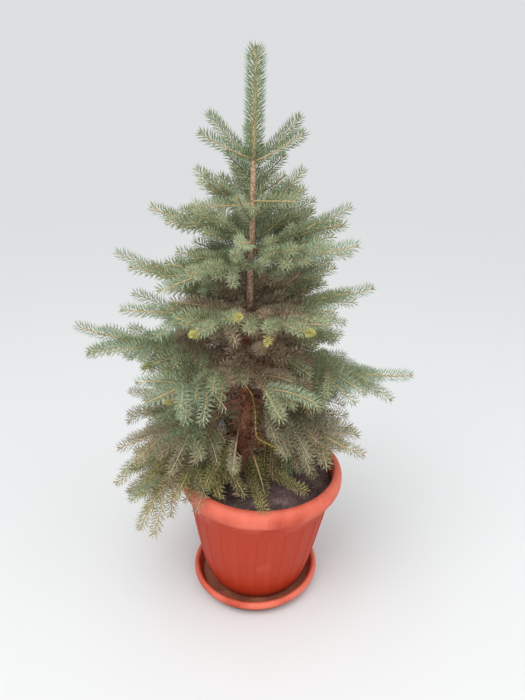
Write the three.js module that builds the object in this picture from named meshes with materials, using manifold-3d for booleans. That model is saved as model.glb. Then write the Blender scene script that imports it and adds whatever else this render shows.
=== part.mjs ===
// A young blue spruce in a panelled plastic pot that stands in its saucer.
// Millimetres, +Z up, the origin at the middle of the saucer's flat underside.
// +X is the viewer's right and +Y points away from the viewer.
// Headings are degrees from +X towards +Y, and slopes are degrees above the level.
import * as THREE from "three";
import { mergeVertices } from "three/addons/utils/BufferGeometryUtils.js";
import Module from "manifold-3d";

const wasm = await Module();
wasm.setup();

// Driving sizes of the pot and its saucer
const GAP = 0.3; // the clearance that touching pieces keep
const RIM_RADIUS = 250;
const POT_HEIGHT = 400;
const FOOT_RADIUS = 150;
const BODY_RADIUS = 227; // of the pot's wall where it meets the rim
const BODY_CURVE = 0.65; // below 1 the wall bulges, at 1 it is a straight cone
const SKIRT_DEPTH = 53; // from the top of the rim to the lower edge of its skirt
const RIM_WIDTH = 30;
const WALL = 5; // where it is thinnest, behind a panel
const SAUCER_RADIUS = 203;
const SAUCER_HEIGHT = 46;
const SAUCER_FLOOR = 5;
const POT_OFFSET = [5, 12]; // the pot stands a little off the saucer's middle
const POT_LEAN = 20; // how far the soft wall has gone over to +X at the rim
const PANELS = 24; // sunk panels round the wall, with a raised rib between two
const PANEL_DEPTH = 3;
const PANEL_LEVELS = [40, 150, 290]; // their foot, middle and head
const BAND_LEVEL = 318; // the plain band above the panels begins here
const CORNER_SHARES = [0, 0.3, 0.37, 0.93]; // of a pitch: a rib, a slope and a panel
const FIRST_RIB = 0.5; // of a pitch, from +X
const SOIL_DROP = 38; // from the top of the rim down to the soil
const POT_SEGMENTS = CORNER_SHARES.length * PANELS;
const SOIL_SEGMENTS = 36;
const SOIL_SLACK = 2.2; // between the soil and the pot's wall
const SAUCER_SEGMENTS = 40;

// Levels that follow from them
const POT_FOOT = SAUCER_FLOOR + GAP;
const RIM_TOP = POT_FOOT + POT_HEIGHT;
const SOIL_TOP = RIM_TOP - SOIL_DROP;
const RIM_INNER = RIM_RADIUS - RIM_WIDTH;

// Driving sizes of the tree
const TRUNK_FOOT = SOIL_TOP + GAP;
const TRUNK_END = 1322; // the leader's needles begin here
const PLANT_TOP = 1568;
const TIP_NEEDLE = 18; // how far the needles pass the end of a shoot
const TRUNK_X = [-43, -5, 8]; // foot, middle pull and tip of the trunk's lean
const TRUNK_Y = [55, 50, 46];
const TRUNK_RADII = [14, 9, 3.4]; // above the flare, halfway up, at the leader's tip
const FLARE = 7; // what the root flare adds to the radius at the soil
const FLARE_HEIGHT = 45;
const FLARE_LOBES = [0.12, -0.16]; // share of the radius at a root, and between two
const TRUNK_SIDES = 10;
const TRUNK_RINGS = 14; // above the flare
const LIMB_SIDES = 6;
const LIMB_RINGS = 4;

// Driving sizes of the foliage. Needles are larger than life, because they are few.
const NEEDLE_REACH = 31;
const NEEDLE_LEAN = 22; // how far a needle's tip leans forward
const NEEDLE_SHARE = NEEDLE_REACH / Math.hypot(NEEDLE_REACH, NEEDLE_LEAN);
const LEAST_REACH = 9;
const TIER = 40; // the stretch of a shoot that carries one ring of needles
const TIER_TWIST = 0.45; // radians from one ring to the next
const LEADER_TIERS = 7;
const LEADER_SWELL = 1.25; // the leader's bark and needle bases, against the trunk's radius
const stemRadius = (length) => 2.3 + 0.006 * length;
const limbRadius = (length) => 3.6 + 0.011 * length; // where it leaves the trunk
const SHOOT_RADIUS = 3.2;
const TIP_RADIUS = 2;
const FIRST_SIDE = 14; // past the bare stretch
const SIDE_PITCH = 64; // along the stem, from one side shoot to the next
const SIDE_ANGLE = 52; // between a side shoot and its stem
const SIDE_ANGLE_SPREAD = 7;
const SIDE_ROLL_SPREAD = 36; // out of the bough's own flat spray
const SIDE_SHARE = 0.52; // length of a side shoot as a share of the stem beyond it
const SIDE_EXTRA = 36;
const SIDE_TRIES = [1, 0.8, 0.6]; // of that length, where the room is short
const SIDE_BEND = 0.3; // how far a side shoot turns towards its bough's direction
const LONGEST_SIDE = 175;
const SHORTEST_SHOOT = 58;
const SWAY = 9; // degrees a bough's heading may wander
const AXIS_STEPS = 24;
const JOINT_OVERRUN = 4; // limb and stem are drawn past their joint, then cut flat there
const CLEAR = 1.2; // between the spaces of two masses

// Each whorl: its height above the ground, the stretch of trunk that its boughs leave
// from, how far they sag at their middle, the share of them that is bare, whether a limb
// carries their foliage, and the boughs as [heading, length, slope at the trunk, slope at
// the tip].
const WHORLS = [
  {
    name: "top", height: 1298, stretch: 16, sag: 0, bare: 0.3, limb: false,
    boughs: [
      [22, 170, 36, 46], [95, 150, 30, 40], [158, 170, 38, 48], [203, 150, 18, 30],
      [335, 155, 20, 30],
    ],
  },
  {
    name: "second", height: 1178, stretch: 50, sag: 0, bare: 0.28, limb: false,
    boughs: [
      [20, 190, 26, 50], [96, 170, 30, 40], [166, 190, 24, 48], [216, 150, 0, 4],
      [268, 115, 12, 16], [318, 150, 4, 4],
    ],
  },
  {
    name: "upper", height: 1072, stretch: 44, sag: -4, bare: 0.26, limb: false,
    boughs: [
      [8, 300, 26, 28], [54, 280, 34, 30], [118, 275, 28, 28], [180, 280, 22, 26],
      [228, 310, -8, -6], [268, 255, 12, 16], [324, 310, 0, 20],
    ],
  },
  {
    name: "middle", height: 905, stretch: 44, sag: -6, bare: 0.24, limb: false,
    boughs: [
      [2, 355, 14, 18], [48, 360, 22, 22], [108, 370, 18, 20], [178, 395, 24, 26],
      [206, 360, 8, 16], [246, 330, 2, 12], [300, 320, 4, 14],
    ],
  },
  {
    name: "lower", height: 780, stretch: 44, sag: -8, bare: 0.28, limb: true,
    boughs: [
      [186, 495, 10, 23], [228, 390, -4, 8], [284, 365, -4, 6], [354, 485, -14, 6],
      [52, 445, 4, 14], [118, 455, 6, 16],
    ],
  },
  {
    name: "skirt", height: 615, stretch: 44, sag: -10, bare: 0.28, limb: false,
    boughs: [
      [158, 410, 2, 4], [214, 400, 2, -4], [262, 320, -2, 4], [322, 410, 0, 0],
      [30, 400, 2, 6], [88, 420, 2, 6],
    ],
  },
  {
    name: "lowest", height: 490, stretch: 50, sag: 0, bare: 0.3, limb: true,
    boughs: [
      [182, 420, 6, -40], [214, 440, 8, -62], [2, 350, 2, 2], [112, 375, 4, -6],
      [292, 215, -8, -50], [244, 240, -4, -30],
    ],
  },
];

const UP = new THREE.Vector3(0, 0, 1);
const radians = THREE.MathUtils.degToRad;
const blend = (a, b, c, t) => a * (1 - t) ** 2 + 2 * b * t * (1 - t) + c * t ** 2;

// A number from 0 to 1 that is always the same for the same whole numbers.
function drawn(...keys) {
  let h = 2166136261;
  for (const key of keys) {
    h = Math.imul(h ^ key, 16777619) >>> 0;
    h = Math.imul(h ^ (h >>> 15), 2246822519) >>> 0;
  }
  return ((h ^ (h >>> 13)) >>> 0) / 4294967296;
}

const spread = (amount, ...keys) => amount * (2 * drawn(...keys) - 1);

// Solids: geometry to manifold and back

function solidOf(geometry) {
  const bare = new THREE.BufferGeometry();
  bare.setAttribute("position", geometry.getAttribute("position"));
  bare.setIndex(geometry.getIndex());
  const merged = mergeVertices(bare, 1e-4);
  return new wasm.Manifold(
    new wasm.Mesh({
      numProp: 3,
      vertProperties: merged.getAttribute("position").array,
      triVerts: new Uint32Array(merged.getIndex().array),
    }),
  );
}

function geometryOf(solid) {
  const mesh = solid.getMesh();
  const geometry = new THREE.BufferGeometry();
  geometry.setAttribute("position", new THREE.BufferAttribute(mesh.vertProperties, 3));
  geometry.setIndex(new THREE.BufferAttribute(mesh.triVerts, 1));
  return geometry;
}

// The largest body of a solid: a cut can leave a scrap on its far side.
function mainBody(solid) {
  return solid.decompose().reduce((a, b) => (a.volume() > b.volume() ? a : b));
}

function geometryOfTriangles(triangles) {
  const geometry = new THREE.BufferGeometry();
  const numbers = triangles.flat().flatMap((p) => [p.x, p.y, p.z]);
  geometry.setAttribute("position", new THREE.Float32BufferAttribute(numbers, 3));
  return mergeVertices(geometry, 1e-4);
}

// Round pieces: a profile of [radius, height] that starts and ends on the axis

function turned(profile, segments) {
  const points = profile.map(([r, z]) => new THREE.Vector2(r, z));
  return new THREE.LatheGeometry(points, segments).rotateX(Math.PI / 2);
}

function saucerGeometry() {
  const r = SAUCER_RADIUS;
  const top = SAUCER_HEIGHT;
  return turned(
    [
      [0, 0], [r - 34, 0], [r - 25, 6], [r - 14, top - 19], [r - 2, top - 18],
      [r, top - 8], [r - 8, top], [r - 16, top - 4], [r - 21, top - 24],
      [r - 34, SAUCER_FLOOR], [0, SAUCER_FLOOR],
    ],
    SAUCER_SEGMENTS,
  );
}

// Heights on the pot are above its own foot.

function wallRadius(z) {
  const share = Math.max(0, z - 8) / (POT_HEIGHT - SKIRT_DEPTH - 8);
  return THREE.MathUtils.lerp(FOOT_RADIUS, BODY_RADIUS, share ** BODY_CURVE);
}

const potShift = (z) => POT_LEAN * (z / POT_HEIGHT) ** 2;

function leaned(geometry) {
  const at = geometry.getAttribute("position");
  for (let i = 0; i < at.count; i++) at.setX(i, at.getX(i) + potShift(at.getZ(i)));
  return geometry;
}

// Turns the corners of each pitch into a rib, two slopes and a sunk panel.
function panelled(geometry) {
  const at = geometry.getAttribute("position");
  const corners = CORNER_SHARES.length;
  for (let i = 0; i < at.count; i++) {
    const radius = Math.hypot(at.getX(i), at.getY(i));
    if (radius < 1) continue;
    const turn = Math.atan2(at.getY(i), at.getX(i)) / (2 * Math.PI);
    const corner = (Math.round(turn * POT_SEGMENTS) + POT_SEGMENTS) % POT_SEGMENTS;
    const share = Math.floor(corner / corners) + CORNER_SHARES[corner % corners];
    const angle = (2 * Math.PI * (share + FIRST_RIB)) / PANELS;
    const z = at.getZ(i);
    const onPanel = PANEL_LEVELS.includes(Math.round(z)) && radius > wallRadius(z) - 1;
    const r = onPanel && corner % corners > 1 ? radius - PANEL_DEPTH : radius;
    at.setXY(i, r * Math.cos(angle), r * Math.sin(angle));
  }
  return geometry;
}

const innerRadius = (z) => wallRadius(z) - WALL - PANEL_DEPTH;

function potGeometry() {
  const r = RIM_RADIUS;
  const top = POT_HEIGHT;
  const skirt = top - SKIRT_DEPTH;
  const floor = WALL + 1;
  const [low, middle] = PANEL_LEVELS;
  const pot = turned(
    [
      [0, 0], [FOOT_RADIUS - 7, 0], [FOOT_RADIUS, 8],
      ...[...PANEL_LEVELS, BAND_LEVEL].map((z) => [wallRadius(z), z]),
      [BODY_RADIUS, skirt + 6], [r - 7, skirt], [r, skirt + 14], [r - 2, top - 14],
      [r - 12, top - 2], [r - 23, top], [RIM_INNER, top - 7], [RIM_INNER, skirt],
      [innerRadius(middle), middle], [innerRadius(low), low], [FOOT_RADIUS - WALL, floor],
      [0, floor],
    ],
    POT_SEGMENTS,
  );
  return leaned(panelled(pot));
}

function soilGeometry() {
  const floor = WALL + 1 + GAP;
  const top = POT_HEIGHT - SOIL_DROP;
  const [low, middle] = PANEL_LEVELS;
  const wall = [
    [FOOT_RADIUS - WALL, floor], [innerRadius(low), low], [innerRadius(middle), middle],
    [RIM_INNER, POT_HEIGHT - SKIRT_DEPTH], [RIM_INNER, top - 9],
  ];
  const side = wall.map(([r, z]) => [r - SOIL_SLACK, z]);
  return leaned(turned([[0, floor], ...side, [165, top], [0, top]], SOIL_SEGMENTS));
}

// Trunk and limbs: rings of corners along a line, closed by flat ends

function frameAt(points, i) {
  const ahead = points[Math.min(i + 1, points.length - 1)];
  const behind = points[Math.max(i - 1, 0)];
  const along = ahead.clone().sub(behind).normalize();
  const reference = Math.abs(along.z) > 0.9 ? new THREE.Vector3(0, 1, 0) : UP;
  const across = new THREE.Vector3().crossVectors(along, reference).normalize();
  const over = new THREE.Vector3().crossVectors(across, along);
  return { along, across, over };
}

function ringAt(points, i, radius, sides, spin) {
  const { across, over } = frameAt(points, i);
  return Array.from({ length: sides }, (_, k) => {
    const angle = spin + (2 * Math.PI * k) / sides;
    return points[i].clone()
      .addScaledVector(across, radius * Math.cos(angle))
      .addScaledVector(over, radius * Math.sin(angle));
  });
}

// Skins rings that run clockwise as seen from the end, and closes both ends.
function tubeGeometry(rings, start, end) {
  const triangles = [];
  rings.forEach((ring, i) => {
    ring.forEach((corner, k) => {
      const next = (k + 1) % ring.length;
      if (i === 0) triangles.push([start, corner, ring[next]]);
      if (i + 1 === rings.length) {
        triangles.push([end, ring[next], corner]);
        return;
      }
      const beyond = rings[i + 1];
      triangles.push([corner, beyond[next], ring[next]], [corner, beyond[k], beyond[next]]);
    });
  });
  return geometryOfTriangles(triangles);
}

function trunkCentre(z) {
  const t = (z - TRUNK_FOOT) / (PLANT_TOP - TIP_NEEDLE - TRUNK_FOOT);
  return new THREE.Vector3(blend(...TRUNK_X, t), blend(...TRUNK_Y, t), z);
}

function trunkRadius(z) {
  const t = (z - TRUNK_FOOT) / (PLANT_TOP - TIP_NEEDLE - TRUNK_FOOT);
  const low = Math.max(0, 1 - (z - TRUNK_FOOT) / FLARE_HEIGHT);
  return blend(...TRUNK_RADII, t) + FLARE * low ** 2;
}

// The trunk, or with extra the room that is kept round it. Level rings keep its cut flat.
function trunkGeometry(extra) {
  const heights = [TRUNK_FOOT, TRUNK_FOOT + FLARE_HEIGHT / 3];
  for (let i = 0; i <= TRUNK_RINGS; i++) {
    heights.push(THREE.MathUtils.lerp(TRUNK_FOOT + FLARE_HEIGHT, TRUNK_END, i / TRUNK_RINGS));
  }
  const rings = heights.map((z) => {
    const centre = trunkCentre(z);
    const flare = Math.max(0, 1 - (z - TRUNK_FOOT) / FLARE_HEIGHT);
    return Array.from({ length: TRUNK_SIDES }, (_, k) => {
      const r = (trunkRadius(z) + extra) * (1 + FLARE_LOBES[k % 2] * flare);
      const angle = (-2 * Math.PI * k) / TRUNK_SIDES;
      return new THREE.Vector3(centre.x + r * Math.cos(angle), centre.y + r * Math.sin(angle), z);
    });
  });
  return tubeGeometry(rings, trunkCentre(TRUNK_FOOT), trunkCentre(TRUNK_END));
}

// Boughs: each is one line that sags and lifts as its whorl says

function boughLine(whorl, number, [heading, length, atTrunk, atTip]) {
  const key = whorl * 16 + number;
  const { height, stretch, sag, boughs: ring } = WHORLS[whorl];
  const level = (number % 2) / 2 + Math.floor(number / 2) / ring.length; // neighbours differ
  const slopes = [atTrunk, (atTrunk + atTip) / 2 + 2 * sag, atTip];
  const sway = spread(SWAY, key, 1);
  const points = [trunkCentre(height + stretch * (level - 0.4))];
  for (let i = 0; i < AXIS_STEPS; i++) {
    const t = (i + 0.5) / AXIS_STEPS;
    const rise = radians(blend(...slopes, t));
    const turn = radians(heading + sway * t);
    const step = new THREE.Vector3(
      Math.cos(rise) * Math.cos(turn), Math.cos(rise) * Math.sin(turn), Math.sin(rise),
    );
    points.push(points[i].clone().addScaledVector(step, length / AXIS_STEPS));
  }
  return points;
}

function pointAlong(points, length, distance) {
  const t = THREE.MathUtils.clamp(distance / length, 0, 1) * (points.length - 1);
  const i = Math.min(Math.floor(t), points.length - 2);
  return points[i].clone().lerp(points[i + 1], t - i);
}

function directionAlong(points, length, distance) {
  const step = length / AXIS_STEPS;
  const ahead = pointAlong(points, length, distance + step);
  return ahead.sub(pointAlong(points, length, distance - step)).normalize();
}

const boughs = WHORLS.flatMap((whorl, w) =>
  whorl.boughs.map((bough, i) => ({
    label: `${whorl.name}_${i + 1}`,
    key: w * 16 + i,
    length: bough[1],
    limb: whorl.limb,
    bare: whorl.bare,
    rootRadius: whorl.limb ? limbRadius(bough[1]) : stemRadius(bough[1]),
    line: boughLine(w, i, bough),
  })),
);

// The space round a point that is free for one bough's needles

function distanceToLine(p, line) {
  const segment = new THREE.Line3();
  const nearest = new THREE.Vector3();
  let least = Infinity;
  for (let i = 0; i + 1 < line.length; i++) {
    segment.set(line[i], line[i + 1]).closestPointToPoint(p, true, nearest);
    least = Math.min(least, nearest.distanceTo(p));
  }
  return least;
}

function roomAtPot(p) {
  const r = Math.hypot(p.x - POT_OFFSET[0] - POT_LEAN, p.y - POT_OFFSET[1]);
  const inside = Math.min(p.z - SOIL_TOP, RIM_INNER - r - 3);
  return Math.max(inside, r - RIM_RADIUS - 2, p.z - RIM_TOP - 2);
}

// The leader's needles take their own room round the trunk's line above its end.
function roomAtTrunk(p) {
  const z = THREE.MathUtils.clamp(p.z, TRUNK_FOOT, PLANT_TOP - TIP_NEEDLE);
  const taken = z > TRUNK_END - NEEDLE_REACH ? NEEDLE_REACH : 0;
  return p.distanceTo(trunkCentre(z)) - trunkRadius(z) - 2 * CLEAR - taken;
}

function roomFor(own, p) {
  const toOwn = distanceToLine(p, own.line);
  let room = Math.min(roomAtPot(p), roomAtTrunk(p));
  for (const other of boughs) {
    if (other === own) continue;
    const away = distanceToLine(p, other.line);
    room = Math.min(room, (away - toOwn) / 2 - CLEAR, away - other.rootRadius - CLEAR);
  }
  return room;
}

// Shoots: a three-sided core with a ring of three needles on each tier

function brushGeometry(points, radii, roomAt, tip, spin) {
  const rings = points.map((_, i) => ringAt(points, i, radii[i], 3, spin + i * TIER_TWIST));
  const triangles = [[rings[0][0], rings[0][1], rings[0][2]]];
  for (let i = 0; i + 1 < points.length; i++) {
    const { along } = frameAt(points, i);
    const middle = points[i].clone().lerp(points[i + 1], 0.5);
    const reach = Math.min(NEEDLE_REACH, roomAt(middle, i) * NEEDLE_SHARE);
    for (let k = 0; k < 3; k++) {
      const next = (k + 1) % 3;
      const corners = [rings[i][k], rings[i + 1][k], rings[i + 1][next], rings[i][next]];
      const [a, b, c, d] = corners;
      if (reach < LEAST_REACH) {
        triangles.push([a, b, c], [a, c, d]);
        continue;
      }
      const centre = new THREE.Vector3();
      corners.forEach((corner) => centre.addScaledVector(corner, 0.25));
      const outward = centre.clone().sub(middle).normalize();
      const point = middle.clone()
        .addScaledVector(outward, reach)
        .addScaledVector(along, (NEEDLE_LEAN * reach) / NEEDLE_REACH);
      corners.forEach((corner, n) => triangles.push([corner, corners[(n + 1) % 4], point]));
    }
  }
  const last = rings.at(-1);
  const { along } = frameAt(points, points.length - 1);
  const end = points.at(-1).clone().addScaledVector(along, tip);
  for (let k = 0; k < 3; k++) triangles.push([last[k], end, last[(k + 1) % 3]]);
  return geometryOfTriangles(triangles);
}

// The line of a side shoot, bending a little towards its bough's own direction.
function sideLine(start, direction, forward, length) {
  const tiers = Math.max(2, Math.round(length / TIER));
  const points = [start.clone()];
  for (let i = 0; i < tiers; i++) {
    const pull = (SIDE_BEND * (i + 0.5)) / tiers;
    const step = direction.clone().multiplyScalar(1 - pull).addScaledVector(forward, pull);
    points.push(points[i].clone().addScaledVector(step.normalize(), length / tiers));
  }
  return points;
}

// A side shoot of a bough at one place, or nothing where it has no room.
function sideShoot(bough, number, at) {
  const forward = directionAlong(bough.line, bough.length, at);
  const across = new THREE.Vector3().crossVectors(forward, UP).normalize();
  const over = new THREE.Vector3().crossVectors(across, forward);
  const side = number % 2 ? -1 : 1;
  const roll = radians(spread(SIDE_ROLL_SPREAD, bough.key, number, 3));
  const angle = radians(SIDE_ANGLE + spread(SIDE_ANGLE_SPREAD, bough.key, number, 4));
  const direction = forward.clone().multiplyScalar(Math.cos(angle))
    .addScaledVector(across, side * Math.sin(angle) * Math.cos(roll))
    .addScaledVector(over, Math.sin(angle) * Math.sin(roll));
  const wanted = Math.min(LONGEST_SIDE, SIDE_SHARE * (bough.length - at) + SIDE_EXTRA);
  const start = pointAlong(bough.line, bough.length, at);
  for (const share of SIDE_TRIES) {
    const length = wanted * share;
    if (length < SHORTEST_SHOOT) break;
    const points = sideLine(start, direction, forward, length);
    const rooms = points.slice(1).map((p) => roomFor(bough, p));
    if (rooms.every((room) => room > LEAST_REACH)) return { points, tip: rooms.at(-1) };
  }
  return null;
}

// The flat joint where a limb ends and its foliage's stem begins.
function jointOf(bough) {
  const at = bough.bare * bough.length;
  const along = directionAlong(bough.line, bough.length, at);
  return { along, offset: along.dot(pointAlong(bough.line, bough.length, at)) };
}

// The stem of a mass with its own needles, from its limb or the trunk to the bough's tip.
function stemSolid(bough) {
  const first = bough.bare * bough.length;
  const usable = bough.length - TIP_NEEDLE;
  const tiers = Math.max(2, Math.round((usable - first) / TIER));
  const places = Array.from({ length: tiers + 1 }, (_, i) => first + ((usable - first) * i) / tiers);
  if (bough.limb) places[0] = first - JOINT_OVERRUN;
  else places.unshift(0);
  const points = places.map((d) => pointAlong(bough.line, bough.length, d));
  const roomAt = (p, tier) => (tier === 0 && !bough.limb ? 0 : roomFor(bough, p));
  const thick = stemRadius(bough.length);
  const radii = places.map((d) => THREE.MathUtils.lerp(thick, TIP_RADIUS, d / usable));
  const tip = Math.min(TIP_NEEDLE, roomFor(bough, points.at(-1)));
  const stem = solidOf(brushGeometry(points, radii, roomAt, tip, 0.5));
  if (!bough.limb) return mainBody(stem.subtract(trunkRoom));
  const { along, offset } = jointOf(bough);
  return stem.trimByPlane(along.toArray(), offset + GAP);
}

function foliageSolid(bough) {
  let solid = stemSolid(bough);
  const first = bough.bare * bough.length + FIRST_SIDE;
  const last = bough.length - TIP_NEEDLE - SHORTEST_SHOOT / 2;
  for (let number = 0; first + number * SIDE_PITCH < last; number++) {
    const shoot = sideShoot(bough, number, first + number * SIDE_PITCH);
    if (!shoot) continue;
    const tip = Math.min(TIP_NEEDLE, shoot.tip);
    const radii = shoot.points.map((_, i) =>
      THREE.MathUtils.lerp(SHOOT_RADIUS, TIP_RADIUS, i / (shoot.points.length - 1)));
    radii[0] = TIP_RADIUS; // its root lies inside the stem
    const brush = brushGeometry(shoot.points, radii, (p) => roomFor(bough, p), tip, number);
    solid = solid.add(solidOf(brush));
  }
  return mainBody(solid);
}

function limbSolid(bough) {
  const end = bough.bare * bough.length + JOINT_OVERRUN;
  const shares = Array.from({ length: LIMB_RINGS + 1 }, (_, i) => i / LIMB_RINGS);
  const points = shares.map((share) => pointAlong(bough.line, bough.length, end * share));
  const rings = points.map((_, i) => {
    const radius = THREE.MathUtils.lerp(bough.rootRadius, stemRadius(bough.length), shares[i]);
    return ringAt(points, i, radius, LIMB_SIDES, 0);
  });
  const limb = solidOf(tubeGeometry(rings, points[0], points.at(-1)));
  const { along, offset } = jointOf(bough);
  return mainBody(limb.trimByPlane(along.negate().toArray(), -offset).subtract(trunkRoom));
}

function leaderGeometry() {
  const foot = TRUNK_END + GAP;
  const heights = Array.from({ length: LEADER_TIERS + 1 }, (_, i) =>
    THREE.MathUtils.lerp(foot, PLANT_TOP - TIP_NEEDLE, i / LEADER_TIERS));
  const points = heights.map(trunkCentre);
  const radii = heights.map((z) => trunkRadius(z) * LEADER_SWELL);
  return brushGeometry(points, radii, () => Infinity, TIP_NEEDLE, 0);
}

// The whole plant

const trunkRoom = solidOf(trunkGeometry(GAP));

const finishes = {
  plastic: { color: 0xc4502f, roughness: 0.45, metalness: 0 },
  soil: { color: 0x3d2f2b, roughness: 0.95, metalness: 0 },
  bark: { color: 0x8a5136, roughness: 0.9, metalness: 0 },
  needles: { color: 0x5d7d68, roughness: 0.7, metalness: 0 },
};

const plant = new THREE.Group();

function addPiece(name, geometry, finish, place = [0, 0, 0]) {
  const mesh = new THREE.Mesh(geometry, new THREE.MeshStandardMaterial(finishes[finish]));
  mesh.name = name;
  mesh.position.set(...place);
  plant.add(mesh);
}

const potPlace = [...POT_OFFSET, POT_FOOT];
addPiece("saucer", saucerGeometry(), "plastic");
addPiece("pot", potGeometry(), "plastic", potPlace);
addPiece("soil", soilGeometry(), "soil", potPlace);
addPiece("trunk", trunkGeometry(0), "bark");
addPiece("leader_needles", leaderGeometry(), "needles");
for (const bough of boughs) {
  if (bough.limb) addPiece(`bough_${bough.label}`, geometryOf(limbSolid(bough)), "bark");
  addPiece(`foliage_${bough.label}`, geometryOf(foliageSolid(bough)), "needles");
}

export default plant;
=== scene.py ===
"""A young blue spruce in a panelled plastic pot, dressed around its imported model.

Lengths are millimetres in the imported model's frame and turn into metres where a mesh is made.
+X is the viewer's right, +Y points away from the viewer and +Z is up. Headings are degrees
from +X towards +Y, and slopes are degrees above the level.
"""

import logging
import math
from collections import defaultdict
from collections.abc import Callable, Iterable, Sequence
from dataclasses import dataclass, field
from enum import Enum

import bpy
import numpy as np
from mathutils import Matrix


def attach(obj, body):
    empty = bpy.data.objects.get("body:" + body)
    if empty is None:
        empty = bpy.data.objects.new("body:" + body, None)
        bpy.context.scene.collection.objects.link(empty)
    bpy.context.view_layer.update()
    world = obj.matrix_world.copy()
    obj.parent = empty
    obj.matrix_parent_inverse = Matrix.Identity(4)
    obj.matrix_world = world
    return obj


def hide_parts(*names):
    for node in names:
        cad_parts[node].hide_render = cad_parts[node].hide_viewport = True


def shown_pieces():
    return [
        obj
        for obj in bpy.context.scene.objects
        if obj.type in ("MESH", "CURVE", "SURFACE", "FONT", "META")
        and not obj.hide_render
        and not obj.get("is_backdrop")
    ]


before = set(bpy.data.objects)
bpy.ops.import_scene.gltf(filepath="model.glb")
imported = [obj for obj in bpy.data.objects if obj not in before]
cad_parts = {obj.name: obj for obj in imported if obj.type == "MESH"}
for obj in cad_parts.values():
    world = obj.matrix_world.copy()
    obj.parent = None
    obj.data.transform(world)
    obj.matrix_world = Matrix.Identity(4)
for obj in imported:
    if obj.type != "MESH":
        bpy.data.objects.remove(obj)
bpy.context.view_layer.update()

MM = 0.001
LOG = logging.getLogger("spruce")
UP = np.array([0.0, 0.0, 1.0])
# What grows in turn on a stem stands this many degrees on from the last
GOLDEN_ANGLE = 137.5

Point = tuple[float, float, float]
Profile = list[tuple[float, float]]
Piece = bpy.types.Object
Tree = bpy.types.NodeTree
Inputs = dict[str | int, object]

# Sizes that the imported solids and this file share
POT_FOOT = 5.3
POT_HEIGHT = 400.0
POT_CENTRE = (5.0, 12.0)
POT_LEAN = 20.0
RIM_RADIUS = 250.0
RIM_INNER = 220.0
RIM_TOP = POT_FOOT + POT_HEIGHT
SOIL_TOP = RIM_TOP - 38.0
TRUNK_FOOT = SOIL_TOP + 0.3
TRUNK_END = 1322.0
STEM_TOP = 1550.0
# At the foot, halfway as a curve's pull, and at the top
TRUNK_X = (-43.0, -5.0, 8.0)
TRUNK_Y = (55.0, 50.0, 46.0)
TRUNK_RADII = (14.0, 9.0, 3.4)
FLARE = 7.0
FLARE_HEIGHT = 45.0

# Where the camera stands
EYE = np.array([24.0, -1385.0, 1355.0])
# How far shoots keep clear of the pot and the soil
POT_ROOM = 5.0


def drawn(*keys: int) -> float:
    """A number from 0 to 1 that is always the same for the same whole numbers.

    Args:
        keys: whole numbers that name the draw: what it is for, and which of its draws.

    Returns:
        The drawn number.
    """
    # The start and the multipliers are those of common hash functions
    mask = 0xFFFFFFFF
    h = 2166136261
    for key in keys:
        h = ((h ^ key) * 16777619) & mask
        h = ((h ^ (h >> 15)) * 2246822519) & mask
    return ((h ^ (h >> 13)) & mask) / (mask + 1)


def spread(amount: float, *keys: int) -> float:
    """A drawn number from minus an amount to plus that amount."""
    return amount * (2 * drawn(*keys) - 1)


def varied(amount: float, *keys: int) -> float:
    """A drawn factor that is at most an amount more or less than 1."""
    return 1 - amount + 2 * amount * drawn(*keys)


def blend(triple: Point, t: float) -> float:
    """The value at a share t of a curve from a start to an end, pulled by a middle value."""
    a, b, c = triple
    return a * (1 - t) ** 2 + 2 * b * t * (1 - t) + c * t * t


def mix(a: float, b: float, t: float | np.ndarray) -> float | np.ndarray:
    """The value a share t of the way from a to b, or a row of them for a row of shares."""
    return a + (b - a) * t


def unit(vectors: np.ndarray) -> np.ndarray:
    """Each row's direction, at length 1."""
    return vectors / np.maximum(np.linalg.norm(vectors, axis=-1, keepdims=True), 1e-9)


def turned(start: np.ndarray, end: np.ndarray, angle: np.ndarray) -> np.ndarray:
    """Each start direction turned by an angle towards an end that is square to it."""
    return start * np.cos(angle)[:, None] + end * np.sin(angle)[:, None]


# Finishes


def linear(hex_colour: str) -> tuple[float, float, float, float]:
    """A colour in sRGB hex as linear red, green, blue and alpha.

    Args:
        hex_colour: a number sign and six hex digits.

    Returns:
        The linear colour with alpha 1.
    """
    parts = [int(hex_colour[i : i + 2], 16) / 255 for i in (1, 3, 5)]
    low = [p / 12.92 if p <= 0.04045 else ((p + 0.055) / 1.055) ** 2.4 for p in parts]
    return (low[0], low[1], low[2], 1.0)


def per_metre(size_mm: float) -> float:
    """The scale of a pattern whose lumps have a size in millimetres."""
    return 1 / (size_mm * MM)


def fill(tree: Tree, node: bpy.types.Node, inputs: Inputs) -> None:
    """Sets a node's inputs.

    Args:
        tree: the node tree that the node is in.
        node: the node.
        inputs: input names or numbers, each with a plain value, a socket to link, or a node
            whose first output in use is linked.
    """
    for name, value in inputs.items():
        if isinstance(value, bpy.types.Node):
            value = next(output for output in value.outputs if output.enabled)
        if isinstance(value, bpy.types.NodeSocket):
            tree.links.new(value, node.inputs[name])
        else:
            node.inputs[name].default_value = value


def add_node(tree: Tree, kind: str, inputs: Inputs, **settings: object) -> bpy.types.Node:
    """Adds a node with its settings and links.

    Args:
        tree: the node tree it goes into.
        kind: the node's type, without the words ShaderNode.
        inputs: its inputs, as fill takes them.
        settings: the node's attributes. Stops fills a colour ramp.

    Returns:
        The new node.
    """
    node = tree.nodes.new("ShaderNode" + kind)
    stops = settings.pop("stops", ())
    for key, value in settings.items():
        setattr(node, key, value)
    fill(tree, node, inputs)
    for number, (place, colour) in enumerate(stops):
        if number > 1:
            node.color_ramp.elements.new(place)
        node.color_ramp.elements[number].position = place
        node.color_ramp.elements[number].color = linear(colour)
    return node


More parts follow.
